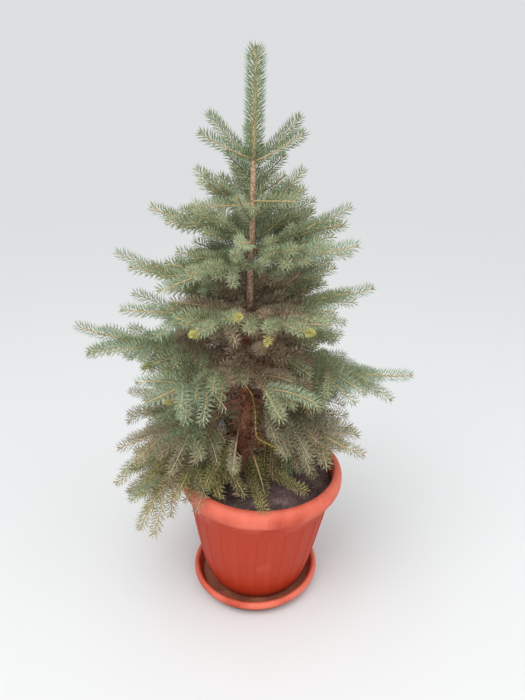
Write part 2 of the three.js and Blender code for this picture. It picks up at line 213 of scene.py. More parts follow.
@dataclass(frozen=True)
class Finish:
    """A material that is made on first use, from a subclass's own nodes."""

    name: str

    def material(self) -> bpy.types.Material:
        """The material, made now or found from before.

        Returns:
            The material.
        """
        ready = bpy.data.materials.get(self.name)
        if ready:
            return ready
        made = bpy.data.materials.new(self.name)
        made.use_nodes = True
        tree = made.node_tree
        shader = next(n for n in tree.nodes if n.type == "BSDF_PRINCIPLED")
        fill(tree, shader, self.surface(tree, add_node(tree, "TexCoord", {}).outputs["Object"]))
        return made

    def surface(self, tree: Tree, place: bpy.types.NodeSocket) -> Inputs:
        """Adds this finish's own nodes, and gives the Principled shader's inputs for fill."""
        raise NotImplementedError


@dataclass(frozen=True)
class WaxyNeedle(Finish):
    """Spruce needle under its wax bloom: pale, with a broad soft gloss."""

    pale: str
    deep: str
    patch_mm: float = 9.0

    def surface(self, tree: Tree, place: bpy.types.NodeSocket) -> Inputs:
        """Adds a change of colour from needle to needle.

        Args:
            tree: the material's node tree.
            place: the Object coordinates, in metres.

        Returns:
            The Principled shader's inputs.
        """
        patches = add_node(
            tree, "TexNoise", {"Vector": place, "Scale": per_metre(self.patch_mm), "Detail": 2.0}
        )
        stops = ((0.34, self.deep), (0.66, self.pale))
        colour = add_node(tree, "ValToRGB", {"Fac": patches}, stops=stops)
        return {"Base Color": colour, "Roughness": 0.5, "IOR": 1.45}


@dataclass(frozen=True)
class Bark(Finish):
    """Conifer bark, thin scales over cork: matt scales with dark lines between them, and
    where upper names a colour, younger and paler bark above."""

    scale: str
    shade: str
    crack: str
    upper: str = ""
    flake_mm: float = 5.0
    grain_mm: float = 4.5455
    relief_mm: float = 1.0
    upper_from_mm: float = 560.0
    upper_to_mm: float = 920.0

    def surface(self, tree: Tree, place: bpy.types.NodeSocket) -> Inputs:
        """Adds the scales, the lines between them and a fine grain.

        Args:
            tree: the material's node tree.
            place: the Object coordinates, in metres.

        Returns:
            The Principled shader's inputs.
        """
        # Scales stand taller than they are wide
        tall = add_node(tree, "Mapping", {"Vector": place, "Scale": (1.0, 1.0, 0.5)})
        scales = add_node(
            tree, "TexVoronoi", {"Vector": tall, "Scale": per_metre(self.flake_mm)},
            feature="DISTANCE_TO_EDGE",
        )
        edge = add_node(tree, "MapRange", {"Value": scales, "From Max": 0.14})
        grain = add_node(
            tree, "TexNoise", {"Vector": tall, "Scale": per_metre(self.grain_mm), "Detail": 5.0}
        )
        stops = ((0.32, self.shade), (0.68, self.scale))
        tone = add_node(tree, "ValToRGB", {"Fac": grain}, stops=stops)
        if self.upper:
            height = add_node(tree, "SeparateXYZ", {"Vector": place}).outputs["Z"]
            limits = {"From Min": self.upper_from_mm * MM, "From Max": self.upper_to_mm * MM}
            young = add_node(tree, "MapRange", {"Value": height, **limits, "To Max": 0.9})
            pale = {0: young, 6: tone, 7: linear(self.upper)}
            tone = add_node(tree, "Mix", pale, data_type="RGBA")
        lined = {0: edge, 6: linear(self.crack), 7: tone}
        colour = add_node(tree, "Mix", lined, data_type="RGBA")
        raised = add_node(tree, "Math", {0: edge, 1: grain}, operation="ADD")
        relief_inputs = {"Height": raised, "Strength": 0.7, "Distance": self.relief_mm * MM}
        bump = add_node(tree, "Bump", relief_inputs)
        return {"Base Color": colour, "Normal": bump, "Roughness": 0.85}


@dataclass(frozen=True)
class MouldedPolypropylene(Finish):
    """Injection-moulded polypropylene left outdoors: satin, paler in random patches and paler over
    its top, which is painted light on the lit rim, with dust dried in streaks and soil splashed up
    from the ground."""

    fresh: str = "#AA2D05"
    faded_and_lit: str = "#D96A53"
    dirt: str = "#6E3A2A"
    # Above this height the pot turns paler: painted light on its lit top
    painted_light_above_mm: float = 340.0
    painted_light_band_mm: float = 60.0
    splashed_below_mm: float = 90.0
    cloud_mm: float = 111.1
    streak_mm: float = 7.692
    speck_mm: float = 6.25
    texture_mm: float = 1.4286
    texture_depth_mm: float = 0.4

    def surface(self, tree: Tree, place: bpy.types.NodeSocket) -> Inputs:
        """Adds random pale patches, painted light over the top, streaks, splashes and the mould's
        fine texture.

        Args:
            tree: the material's node tree.
            place: the Object coordinates, in metres.

        Returns:
            The Principled shader's inputs.
        """
        height = add_node(tree, "SeparateXYZ", {"Vector": place}).outputs["Z"]
        cloud = add_node(
            tree, "TexNoise", {"Vector": place, "Scale": per_metre(self.cloud_mm), "Detail": 4.0}
        )
        # Painted light: the pot is paler over its top, where its rim is lit
        limits = {
            "From Min": (self.painted_light_above_mm - self.painted_light_band_mm) * MM,
            "From Max": (self.painted_light_above_mm + self.painted_light_band_mm) * MM,
        }
        painted_light = add_node(tree, "MapRange", {"Value": height, **limits, "To Max": 0.5})
        # Random paler patches, with the painted light on top added to them
        fading_and_painted_light = add_node(tree, "Math", {0: cloud, 1: painted_light}, operation="ADD")
        stops = ((0.63, self.fresh), (1.0, self.faded_and_lit))
        base = add_node(tree, "ValToRGB", {"Fac": fading_and_painted_light}, stops=stops)
        # Run-off streaks are about 4 mm wide and ten times as long
        tall = add_node(tree, "Mapping", {"Vector": place, "Scale": (1.0, 1.0, 0.1)})
        streaks = add_node(
            tree, "TexNoise", {"Vector": tall, "Scale": per_metre(self.streak_mm), "Detail": 3.0}
        )
        streaked = add_node(
            tree, "MapRange", {"Value": streaks, "From Min": 0.62, "From Max": 0.8, "To Max": 0.3}
        )
        specks = add_node(
            tree, "TexNoise", {"Vector": place, "Scale": per_metre(self.speck_mm), "Detail": 6.0}
        )
        limits = {"From Max": self.splashed_below_mm * MM, "To Min": 0.16, "To Max": 0.0}
        low = add_node(tree, "MapRange", {"Value": height, **limits})
        dusted = add_node(tree, "Math", {0: specks, 1: low}, operation="ADD")
        splashed = add_node(
            tree, "MapRange", {"Value": dusted, "From Min": 0.66, "From Max": 0.78, "To Max": 0.55}
        )
        soiling = add_node(tree, "Math", {0: streaked, 1: splashed}, operation="MAXIMUM")
        soiled = {0: soiling, 6: base, 7: linear(self.dirt)}
        colour = add_node(tree, "Mix", soiled, data_type="RGBA")
        rough = add_node(tree, "MapRange", {"Value": soiling, "To Min": 0.6, "To Max": 0.85})
        # The mould's spark-eroded texture is far finer than this, drawn so that it shows
        texture = add_node(
            tree, "TexNoise", {"Vector": place, "Scale": per_metre(self.texture_mm), "Detail": 2.0}
        )
        eroded = {"Height": texture, "Strength": 0.15, "Distance": self.texture_depth_mm * MM}
        bump = add_node(tree, "Bump", eroded)
        return {"Base Color": colour, "Roughness": rough, "Normal": bump, "IOR": 1.49}


@dataclass(frozen=True)
class Earth(Finish):
    """Damp peat and loam: dark crumbs with paler dry grains, matt or, where wet, slick."""

    dark: str
    middle: str
    dry: str
    roughness: float
    grain_mm: float = 5.0
    damp_mm: float = 71.43
    relief_mm: float = 2.0

    def surface(self, tree: Tree, place: bpy.types.NodeSocket) -> Inputs:
        """Adds crumbs, dry grains and their relief.

        Args:
            tree: the material's node tree.
            place: the Object coordinates, in metres.

        Returns:
            The Principled shader's inputs.
        """
        grains = {"Scale": per_metre(self.grain_mm), "Detail": 6.0, "Roughness": 0.7}
        crumbs = add_node(tree, "TexNoise", {"Vector": place, **grains})
        damp = add_node(
            tree, "TexNoise", {"Vector": place, "Scale": per_metre(self.damp_mm), "Detail": 2.0}
        )
        both = add_node(tree, "Math", {0: crumbs, 1: damp}, operation="ADD")
        mean = add_node(tree, "Math", {0: both, 1: 0.5}, operation="MULTIPLY")
        stops = ((0.4, self.dark), (0.52, self.middle), (0.68, self.dry))
        colour = add_node(tree, "ValToRGB", {"Fac": mean}, stops=stops)
        raised = {"Height": crumbs, "Strength": 0.8, "Distance": self.relief_mm * MM}
        bump = add_node(tree, "Bump", raised)
        return {"Base Color": colour, "Normal": bump, "Roughness": self.roughness}


@dataclass(frozen=True)
class DryLeaf(Finish):
    """Broad leaf dried out: pale pinkish tissue, matt, with browner patches."""

    pale: str = "#D9BCA8"
    brown: str = "#9C7460"
    patch_mm: float = 6.25

    def surface(self, tree: Tree, place: bpy.types.NodeSocket) -> Inputs:
        """Adds the patches.

        Args:
            tree: the material's node tree.
            place: the Object coordinates, in metres.

        Returns:
            The Principled shader's inputs.
        """
        patches = add_node(
            tree, "TexNoise", {"Vector": place, "Scale": per_metre(self.patch_mm), "Detail": 3.0}
        )
        stops = ((0.4, self.brown), (0.6, self.pale))
        colour = add_node(tree, "ValToRGB", {"Fac": patches}, stops=stops)
        return {"Base Color": colour, "Roughness": 0.7}


@dataclass(frozen=True)
class PaleFloor(Finish):
    """Matt painted studio floor: one even pale grey."""

    colour: str = "#D6D7D7"

    def surface(self, tree: Tree, place: bpy.types.NodeSocket) -> Inputs:
        """The even colour alone, with no node."""
        return {"Base Color": linear(self.colour), "Roughness": 0.9}


class Tint(Enum):
    """The colours that needles have on this plant, by age and light, with one darker copy of the
    green that is painted shade.
    """

    FROST = WaxyNeedle("needle_wax_frost", "#B2BEA0", "#7F9073")
    GREEN = WaxyNeedle("needle_wax_green", "#B2BA94", "#7C8864")
    # A darker copy of the green wax: painted shade for the dense top whorl, the leader and some
    # sprays of the whorls below
    DEEP = WaxyNeedle("needle_wax_deep", "#9BA983", "#687753")
    DULL = WaxyNeedle("needle_wax_dull", "#AAA68A", "#79755D")
    OLIVE = WaxyNeedle("needle_wax_olive", "#BAB576", "#67623C")
    DUN = WaxyNeedle("needle_aged_dun", "#B2A184", "#7E6D56")
    RUST = WaxyNeedle("needle_dead_rust", "#BC7C52", "#8A563A")
    LIME = WaxyNeedle("needle_fresh_lime", "#DFD893", "#BFB970")


class Wood(Enum):
    """The barks, from the trunk's old bark to this year's shoots."""

    TRUNK = Bark("spruce_bark_old", "#E29C6C", "#BC7850", "#7C4C36", upper="#C4AC92")
    BOUGH = Bark("spruce_bark_bough", "#A8826A", "#82604C", "#574034", flake_mm=4.0, relief_mm=0.6)
    SHOOT = Bark("spruce_bark_shoot", "#E8D2A0", "#CDB07C", "#957A52", flake_mm=2.4, relief_mm=0.3)
    BUD = Bark("bud_scales_papery", "#C98A4A", "#9A6233", "#6E4424", flake_mm=2.0, relief_mm=0.3)
    DEAD = Bark("dead_twig_bare", "#C98C72", "#A46A54", "#7A4C3E", flake_mm=3.0, relief_mm=0.2)
    STRAW = Bark("dead_shoot_straw", "#F0D888", "#D4B85E", "#AC9040", flake_mm=3.0, relief_mm=0.3)


# Meshes from arrays, for the foliage


def add_object(name: str, data: bpy.types.ID) -> Piece:
    """Puts new data into the scene.

    Args:
        name: the object's name.
        data: its mesh, light or camera.

    Returns:
        The object.
    """
    made = bpy.data.objects.new(name, data)
    bpy.context.scene.collection.objects.link(made)
    return made


def dress_piece(piece: Piece, finish: Finish) -> None:
    """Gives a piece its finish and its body.

    Args:
        piece: the object.
        finish: the finish it wears.
    """
    piece.data.materials.clear()
    piece.data.materials.append(finish.material())
    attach(piece, "root")


def triangle_piece(name: str, points: np.ndarray, faces: np.ndarray, smooth: bool) -> Piece:
    """Makes one object of triangles.

    Args:
        name: the object's name.
        points: vertices in metres.
        faces: triangles.
        smooth: whether its faces are shaded smooth.

    Returns:
        The object.
    """
    mesh = bpy.data.meshes.new(name)
    mesh.vertices.add(len(points))
    mesh.vertices.foreach_set("co", points.astype(np.float32).ravel())
    mesh.loops.add(faces.size)
    mesh.loops.foreach_set("vertex_index", faces.astype(np.int32).ravel())
    mesh.polygons.add(len(faces))
    mesh.polygons.foreach_set("loop_start", np.arange(0, faces.size, 3, dtype=np.int32))
    mesh.polygons.foreach_set("use_smooth", np.full(len(faces), smooth))
    mesh.update(calc_edges=True)
    mesh.validate()
    return add_object(name, mesh)


@dataclass
class Store:
    """Blocks of vertices and triangles that become joined pieces."""

    points: list[np.ndarray] = field(default_factory=list)
    faces: list[np.ndarray] = field(default_factory=list)
    most: int = 190_000

    def add(self, points: np.ndarray, faces: np.ndarray) -> None:
        """Adds one closed block.

        Args:
            points: its vertices, in millimetres.
            faces: its triangles, as rows of numbers into points.
        """
        if len(points):
            self.points.append(points)
            self.faces.append(faces)

    def pieces(self, name: str, finish: Finish, slot: str, smooth: bool = False) -> list[Piece]:
        """Joins the blocks into as few pieces as the largest size of a piece allows.

        Args:
            name: the pieces' name, numbered where there are several.
            finish: their finish.
            slot: not used.
            smooth: whether their faces are shaded smooth.

        Returns:
            The pieces.
        """
        total = sum(len(faces) for faces in self.faces)
        goal = total / max(1, math.ceil(total / self.most))
        groups: list[list[int]] = [[]]
        held = 0
        for i, faces in enumerate(self.faces):
            if held + len(faces) / 2 > goal * len(groups):
                groups.append([])
            groups[-1].append(i)
            held += len(faces)
        made = []
        for number, group in enumerate(groups, 1):
            starts = np.cumsum([0] + [len(self.points[i]) for i in group])
            points = np.concatenate([self.points[i] for i in group]) * MM
            faces = np.concatenate([self.faces[i] + start for i, start in zip(group, starts)])
            label = name if len(groups) == 1 else f"{name}_{number}"
            made.append(triangle_piece(label, points, faces, smooth))
            dress_piece(made[-1], finish)
        return made


@dataclass(frozen=True)
class Line:
    """A growing axis, as points an even step apart."""

    points: np.ndarray
    step: float

    @property
    def length(self) -> float:
        """Its whole length."""
        return self.step * (len(self.points) - 1)

    def at(self, along: np.ndarray | float) -> np.ndarray:
        """The points at some distances along it.

        Args:
            along: the distances.

        Returns:
            One point for each distance.
        """
        # The end itself counts with the last step
        t = np.clip(np.asarray(along, float) / self.step, 0, len(self.points) - 1.000001)
        i = t.astype(int)
        part = (t - i)[..., None]
        return self.points[i] * (1 - part) + self.points[i + 1] * part

    def heading(self, along: np.ndarray | float) -> np.ndarray:
        """The directions at some distances along it.

        Args:
            along: the distances.

        Returns:
            One direction at length 1 for each distance.
        """
        place = np.asarray(along, float)
        ahead = self.at(np.minimum(place + self.step, self.length))
        return unit(ahead - self.at(np.maximum(place - self.step, 0.0)))

    def frame(self, along: np.ndarray | float) -> tuple[np.ndarray, np.ndarray, np.ndarray]:
        """The directions along, across and over it at some distances.

        Args:
            along: the distances.

        Returns:
            Three directions for each distance.
        """
        forward = self.heading(along)
        # A line that is nearly upright takes its sides from +Y instead
        level = abs(unit(self.points[-1] - self.points[0])[2]) < 0.9
        reference = UP if level else np.array([0.0, 1.0, 0.0])
        across = unit(np.cross(forward, reference))
        return forward, across, np.cross(across, forward)

    def beyond(self, places: np.ndarray, step: float) -> "Line":
        """A straight axis past this one's end: each point is some number of steps from it."""
        ahead = self.heading(self.length)
        return Line(self.points[-1] + ahead * step * places[:, None], step)

    def short_of_pot(self) -> "Line":
        """The axis, cut off where it would meet the pot or the soil."""
        met = np.flatnonzero(room_at_pot(self.points[1:]) < POT_ROOM)
        return Line(self.points[: 1 + met[0]], self.step) if len(met) else self


def walked(root: Sequence[float], step: float, aims: Iterable[tuple[float, float]]) -> Line:
    """The axis that even steps make from a point.

    Args:
        root: the point.
        step: the length of a step.
        aims: the heading and the slope of each step.

    Returns:
        The axis.
    """
    points = [np.array(root)]
    for heading, slope in aims:
        turn, rise = math.radians(heading), math.radians(slope)
        level = math.cos(rise)
        ahead = np.array([level * math.cos(turn), level * math.sin(turn), math.sin(rise)])
        points.append(points[-1] + step * ahead)
    return Line(np.array(points), step)


def add_tube(
    store: Store, line: Line, radii: np.ndarray, sides: int, places: np.ndarray | None = None
) -> None:
    """Adds a closed tube along a line.

    Args:
        store: where it goes.
        line: the line it follows.
        radii: one radius for each place, or one for each place and side.
        sides: how many sides it has.
        places: distances along the line; even ones from end to end where none are given.
    """
    places = np.linspace(0, line.length, len(radii)) if places is None else places
    _, across, over = line.frame(places)
    turn = -2 * np.pi * np.arange(sides) / sides
    radii = radii if radii.ndim == 2 else np.repeat(radii[:, None], sides, axis=1)
    middle = line.at(places)
    ring = (
        middle[:, None, :]
        + across[:, None, :] * (radii * np.cos(turn))[..., None]
        + over[:, None, :] * (radii * np.sin(turn))[..., None]
    )
    points = np.concatenate([ring.reshape(-1, 3), middle[:1], middle[-1:]])
    count = len(places)
    k = np.arange(sides)
    n = (k + 1) % sides
    rows = np.arange(count - 1)[:, None] * sides
    low, low_next = rows + k, rows + n
    high, high_next = low + sides, low_next + sides
    foot, last = count * sides, (count - 1) * sides
    corners = (
        (low, high_next, low_next),
        (low, high, high_next),
        (np.full(sides, foot), k, n),
        (np.full(sides, foot + 1), last + n, last + k),
    )
    store.add(points, np.concatenate([np.stack(c, -1).reshape(-1, 3) for c in corners]))


# Edit-mode modelling, for the pot, its saucer, the soil and the trunk


def upright(height: float) -> Point:
    """The middle of a turned body that stands straight up from the origin."""
    return (0.0, 0.0, height)


def ring_shell(
    name: str, profile: Profile, segments: int, centre: Callable[[float], Point] = upright
) -> Piece:
    """Makes a turned body: a circle is extruded to each level in turn and resized there.

    Args:
        name: the object's name.
        profile: radius and height of each ring, from the foot outwards and round.
        segments: vertices in a ring.
        centre: the middle of the ring at a height.

    Returns:
        The object, with flat closed ends, at the origin.
    """
    bpy.ops.object.select_all(action="DESELECT")
    radius, height = profile[0]
    here = np.array(centre(height)) * MM
    bpy.ops.mesh.primitive_circle_add(
        vertices=segments, radius=radius * MM, fill_type="NGON", location=here
    )
    piece = bpy.context.active_object
    piece.name = piece.data.name = name
    bpy.ops.object.mode_set(mode="EDIT")
    bpy.ops.mesh.select_all(action="SELECT")
    for wide, high in profile[1:]:
        there = np.array(centre(high)) * MM
        bpy.ops.mesh.extrude_region_move(TRANSFORM_OT_translate={"value": tuple(there - here)})
        scale = wide / radius
        bpy.ops.transform.resize(value=(scale, scale, 1.0), center_override=tuple(there))
        here, radius = there, wide
    bpy.ops.mesh.select_all(action="SELECT")
    bpy.ops.mesh.normals_make_consistent(inside=False)
    bpy.ops.object.mode_set(mode="OBJECT")
    bpy.ops.object.transform_apply(location=True, rotation=True, scale=True)
    return piece


def select_faces(piece: Piece, wanted: Callable[[bpy.types.MeshPolygon], bool]) -> None:
    """Selects the faces of a piece that pass a test, and nothing else.

    Args:
        piece: the object, in object mode.
        wanted: the test.
    """
    mesh = piece.data
    for part in (mesh.vertices, mesh.edges, mesh.polygons):
        part.foreach_set("select", np.zeros(len(part), bool))
    mesh.polygons.foreach_set("select", [wanted(face) for face in mesh.polygons])


def pick(piece: Piece) -> None:
    """Makes a piece the only one selected, and the active one.

    Args:
        piece: the object.
    """
    bpy.ops.object.select_all(action="DESELECT")
    piece.select_set(True)
    bpy.context.view_layer.objects.active = piece


def apply_modifier(piece: Piece, kind: str, **settings: object) -> None:
    """Adds a modifier with its settings and applies it.

    Args:
        piece: the object.
        kind: the modifier's type.
        settings: its attributes.
    """
    modifier = piece.modifiers.new(kind.title(), kind)
    for key, value in settings.items():
        setattr(modifier, key, value)
    pick(piece)
    bpy.ops.object.modifier_apply(modifier=modifier.name)


def roughen(piece: Piece, texture: str, size: float, strength: float, **settings: object) -> None:
    """Displaces a piece's surface by a texture.

    Args:
        piece: the object.
        texture: the texture's type, such as CLOUDS or VORONOI.
        size: the size of its lumps.
        strength: how far they stand out.
        settings: the Displace modifier's other attributes.
    """
    lumps = bpy.data.textures.new(f"{piece.name}_{texture.lower()}_{size:.0f}", texture)
    lumps.noise_scale = size * MM
    apply_modifier(
        piece, "DISPLACE", texture=lumps, texture_coords="LOCAL", strength=strength * MM, **settings
    )


def shade(piece: Piece, degrees: float) -> None:
    """Shades a piece smooth where its faces meet at less than an angle."""
    pick(piece)
    bpy.ops.object.shade_smooth_by_angle(angle=math.radians(degrees))


def rounded(profile: Profile, steps: int) -> Profile:
    """Runs a smooth curve through a profile's points.

    Args:
        profile: radius and height pairs.
        steps: how many points each stretch gets.

    Returns:
        The finer profile.
    """
    p = np.array([profile[0], *profile, profile[-1]], float)
    out = []
    for a, b, c, d in zip(p, p[1:], p[2:], p[3:]):
        for t in np.arange(steps) / steps:
            curve = 2 * b + (c - a) * t + (2 * a - 5 * b + 4 * c - d) * t**2
            out.append(tuple((curve + (3 * b - a - 3 * c + d) * t**3) / 2))
    return [*out, tuple(p[-1])]


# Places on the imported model


def pot_centre(height: float) -> Point:
    """The middle of the pot at a height above the ground: its wall leans a little."""
    share = max(0.0, height - POT_FOOT) / POT_HEIGHT
    return (POT_CENTRE[0] + POT_LEAN * share**2, POT_CENTRE[1], height)


def trunk_share(height: float) -> float:
    """How far up the trunk and the leader a height is, from 0 to 1."""
    return (height - TRUNK_FOOT) / (STEM_TOP - TRUNK_FOOT)


def trunk_centre(height: float) -> Point:
    """The middle of the trunk at a height above the ground."""
    t = trunk_share(height)
    return (blend(TRUNK_X, t), blend(TRUNK_Y, t), height)


def trunk_radius(height: float) -> float:
    """The trunk's radius at a height, with its flare at the foot."""
    low = max(0.0, 1 - (height - TRUNK_FOOT) / FLARE_HEIGHT)
    return blend(TRUNK_RADII, trunk_share(height)) + FLARE * low * low


def room_at_pot(points: np.ndarray) -> np.ndarray:
    """How far points are clear of the pot and the soil; less than 0 is inside them.

    Args:
        points: rows of x, y and z.

    Returns:
        One distance for each point.
    """
    r = np.hypot(points[:, 0] - POT_CENTRE[0] - POT_LEAN, points[:, 1] - POT_CENTRE[1])
    inside = np.minimum(points[:, 2] - SOIL_TOP, RIM_INNER - r - 3)
    outside = np.maximum(r - RIM_RADIUS - 2, points[:, 2] - RIM_TOP - 2)
    return np.maximum(inside, outside)


def hides_trunk(points: np.ndarray) -> np.ndarray:
    """Which points stand in front of a stretch of the trunk that shows, seen from the eye.

    Args:
        points: rows of x, y and z.

    Returns:
        Whether each does.
    """
    reach = (TRUNK_Y[1] - EYE[1]) / (points[:, 1] - EYE[1])
    x, z = (EYE[i] + (points[:, i] - EYE[i]) * reach for i in (0, 2))
    hiding = np.zeros(len(points), bool)
    for low, high, room in TRUNK_SHOWS:
        away = np.abs(x - trunk_centre((low + high) / 2)[0])
        hiding |= (away < room) & (z > low) & (z < high)
    # Only what is in front of the trunk's own bark counts
    return hiding & (points[:, 1] < TRUNK_Y[1] - 12)


# The pot, its saucer and what is in them


@dataclass
class Saucer:
    """The saucer with its rolled rim, and the silt that has dried and washed into it."""

    radius: float = 203.0
    height: float = 46.0
    floor: float = 5.0
    segments: int = 160
    silt_top: float = 12.0

    def build(self) -> None:
        """Turns the saucer and lays its silt."""
        r, top, silt_top = self.radius, self.height, self.silt_top
        outer = [
            (r - 40, 0.0), (r - 34, 0.0), (r - 27, 4.0), (r - 17, top - 22), (r - 12, top - 18.5),
            (r - 2, top - 18),
        ]
        roll = [
            (r, top - 10), (r - 3, top - 3), (r - 9, top), (r - 15, top - 3), (r - 18, top - 9),
            (r - 22, top - 24), (r - 33, self.floor + 2), (r - 38, self.floor),
        ]
        saucer = ring_shell("saucer_shell", rounded(outer + roll, 3), self.segments)
        shade(saucer, 50)
        # Painted light from the foot up: the whole saucer is paler, a little more towards its rim
        finish = MouldedPolypropylene("polypropylene_saucer", painted_light_above_mm=0.0)
        dress_piece(saucer, finish)
        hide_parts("saucer")
        bed = [
            (60, 6), (186, 6), (187, 9), (185, silt_top), (170, silt_top - 2),
            (150, silt_top - 3), (120, silt_top - 3), (60, silt_top - 3),
        ]
        silt = ring_shell("saucer_silt", bed, self.segments)
        apply_modifier(silt, "TRIANGULATE")
        finish = Earth("silt_wet", "#7A4430", "#9A5E48", "#B2785E", roughness=0.45)
        dress_piece(silt, finish)


@dataclass
class Pot:
    """The pot: a leaning tapered wall of sunk panels under a broad rolled rim."""

    foot_radius: float = 150.0
    foot_height: float = 8.0
    body_radius: float = 227.0
    body_curve: float = 0.65
    skirt: float = 53.0
    wall: float = 8.0
    inside_from: float = 290.0
    panels: int = 24
    steps: int = 14
    rib_share: float = 0.37
    panel_end: float = 0.93
    first_rib: float = 0.5
    panel_depth: float = 2.8
    panel_low: float = 40.0
    panel_high: float = 290.0
    panel_arch: float = 7.0
    panel_runout: float = 13.0
    edge_bevel: float = 1.3
    edge_angle: float = 24.0

    def wall_radius(self, height: float) -> float:
        """The wall's outer radius at a height above the pot's foot."""
        share = max(0.0, height - self.foot_height) / (POT_HEIGHT - self.skirt - self.foot_height)
        return mix(self.foot_radius, self.body_radius, share**self.body_curve)

    def profile(self) -> Profile:
        """Radius and height of every ring, above the pot's foot.

        Returns:
            The rings from the middle of the underside, up, over the rim and down inside.
        """
        top, r, low, high = POT_HEIGHT, RIM_RADIUS, self.panel_low, self.panel_high
        edge = top - self.skirt
        levels = [
            self.foot_height, 14, 26, low, 60, 90, 125, 165, 205, 245, 275, high, 305, 318, 335,
        ]
        foot = [(self.foot_radius - inset, z) for inset, z in ((14, 0.0), (6, 0.0), (1.5, 3))]
        body = [(self.wall_radius(z), z) for z in levels]
        roll = [
            (self.body_radius - 0.6, edge + 4), (r - 12, edge + 0.5), (r - 5, edge + 3),
            (r - 0.5, edge + 14), (r - 1, top - 22), (r - 6, top - 8), (r - 14, top - 1.5),
            (r - 23, top), (r - 28, top - 3), (RIM_INNER, top - 12),
        ]
        floor = self.inside_from
        inside = [(RIM_INNER, edge), (self.wall_radius(floor) - self.wall, floor)]
        return foot + body + rounded(roll, 4) + inside

    def offset(self, point: Sequence[float]) -> Point:
        """A mesh point's place against the pot.

        Args:
            point: the point, in metres.

        Returns:
            How far it is right of and behind the pot's middle, and above the pot's foot.
        """
        x, y, z = (v / MM for v in point)
        middle = pot_centre(z)
        return x - middle[0], y - middle[1], z - POT_FOOT

    def place_on_wall(self, point: Sequence[float]) -> tuple[float, float]:
        """Where a point lies on the outer wall.

        Args:
            point: the point, in metres.

        Returns:
            Its height above the pot's foot, and how far across its panel it is: from 0 to 1
            on the panel, less than 0 on the rib beside it and off the outer wall.
        """
        x, y, height = self.offset(point)
        if math.hypot(x, y) < self.wall_radius(height) - 3:
            return height, -1.0
        turn = (math.atan2(y, x) / (2 * math.pi / self.panels) - self.first_rib) % 1.0
        return height, (turn - self.rib_share) / (self.panel_end - self.rib_share)

    def on_panel(self, face: bpy.types.MeshPolygon) -> bool:
        """Whether a face lies between two ribs, on the outer wall."""
        height, share = self.place_on_wall(face.center)
        return self.panel_low < height < self.panel_high + 2 and 0 < share < 1

    def arch_panel_head(self, vertex: bpy.types.MeshVertex) -> None:
        """Raises a vertex of a panel's upper edge, so that the panel ends in a flat arch.

        Args:
            vertex: any vertex of the pot.
        """
        height, share = self.place_on_wall(vertex.co)
        if abs(height - self.panel_high) < 1 and 0 < share < 1:
            vertex.co.z += self.panel_arch * (1 - (2 * share - 1) ** 4) * MM

    def ease_panel_foot(self, vertex: bpy.types.MeshVertex) -> None:
        """Moves a vertex of a sunk panel's lower edge up the wall, so that the panel runs out.

        Args:
            vertex: any vertex of the pot.
        """
        x, y, height = self.offset(vertex.co)
        radius = math.hypot(x, y)
        sunk = self.wall_radius(height) - radius
        if 1.0 < sunk < self.wall - 3 and self.panel_low + 1 < height < self.panel_low + 6:
            share = (self.wall_radius(height + self.panel_runout) - sunk) / radius
            middle = pot_centre(height + POT_FOOT)
            vertex.co.x = (middle[0] + x * share) * MM
            vertex.co.y = (middle[1] + y * share) * MM
            vertex.co.z += self.panel_runout * MM

    def build(self) -> None:
        """Turns the pot, sinks its panels and softens its edges."""
        rings = [(r, z + POT_FOOT) for r, z in self.profile()]
        pot = ring_shell("pot_shell", rings, self.panels * self.steps, pot_centre)
        for vertex in pot.data.vertices:
            self.arch_panel_head(vertex)
        select_faces(pot, self.on_panel)
        bpy.ops.object.mode_set(mode="EDIT")
        bpy.ops.mesh.inset(thickness=self.panel_depth * MM, depth=-self.panel_depth * MM)
        bpy.ops.object.mode_set(mode="OBJECT")
        for vertex in pot.data.vertices:
            self.ease_panel_foot(vertex)
        apply_modifier(
            pot, "BEVEL", width=self.edge_bevel * MM, segments=2, limit_method="ANGLE",
            angle_limit=math.radians(self.edge_angle),
        )
        shade(pot, 40)
        dress_piece(pot, MouldedPolypropylene("polypropylene_pot"))
        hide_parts("pot")


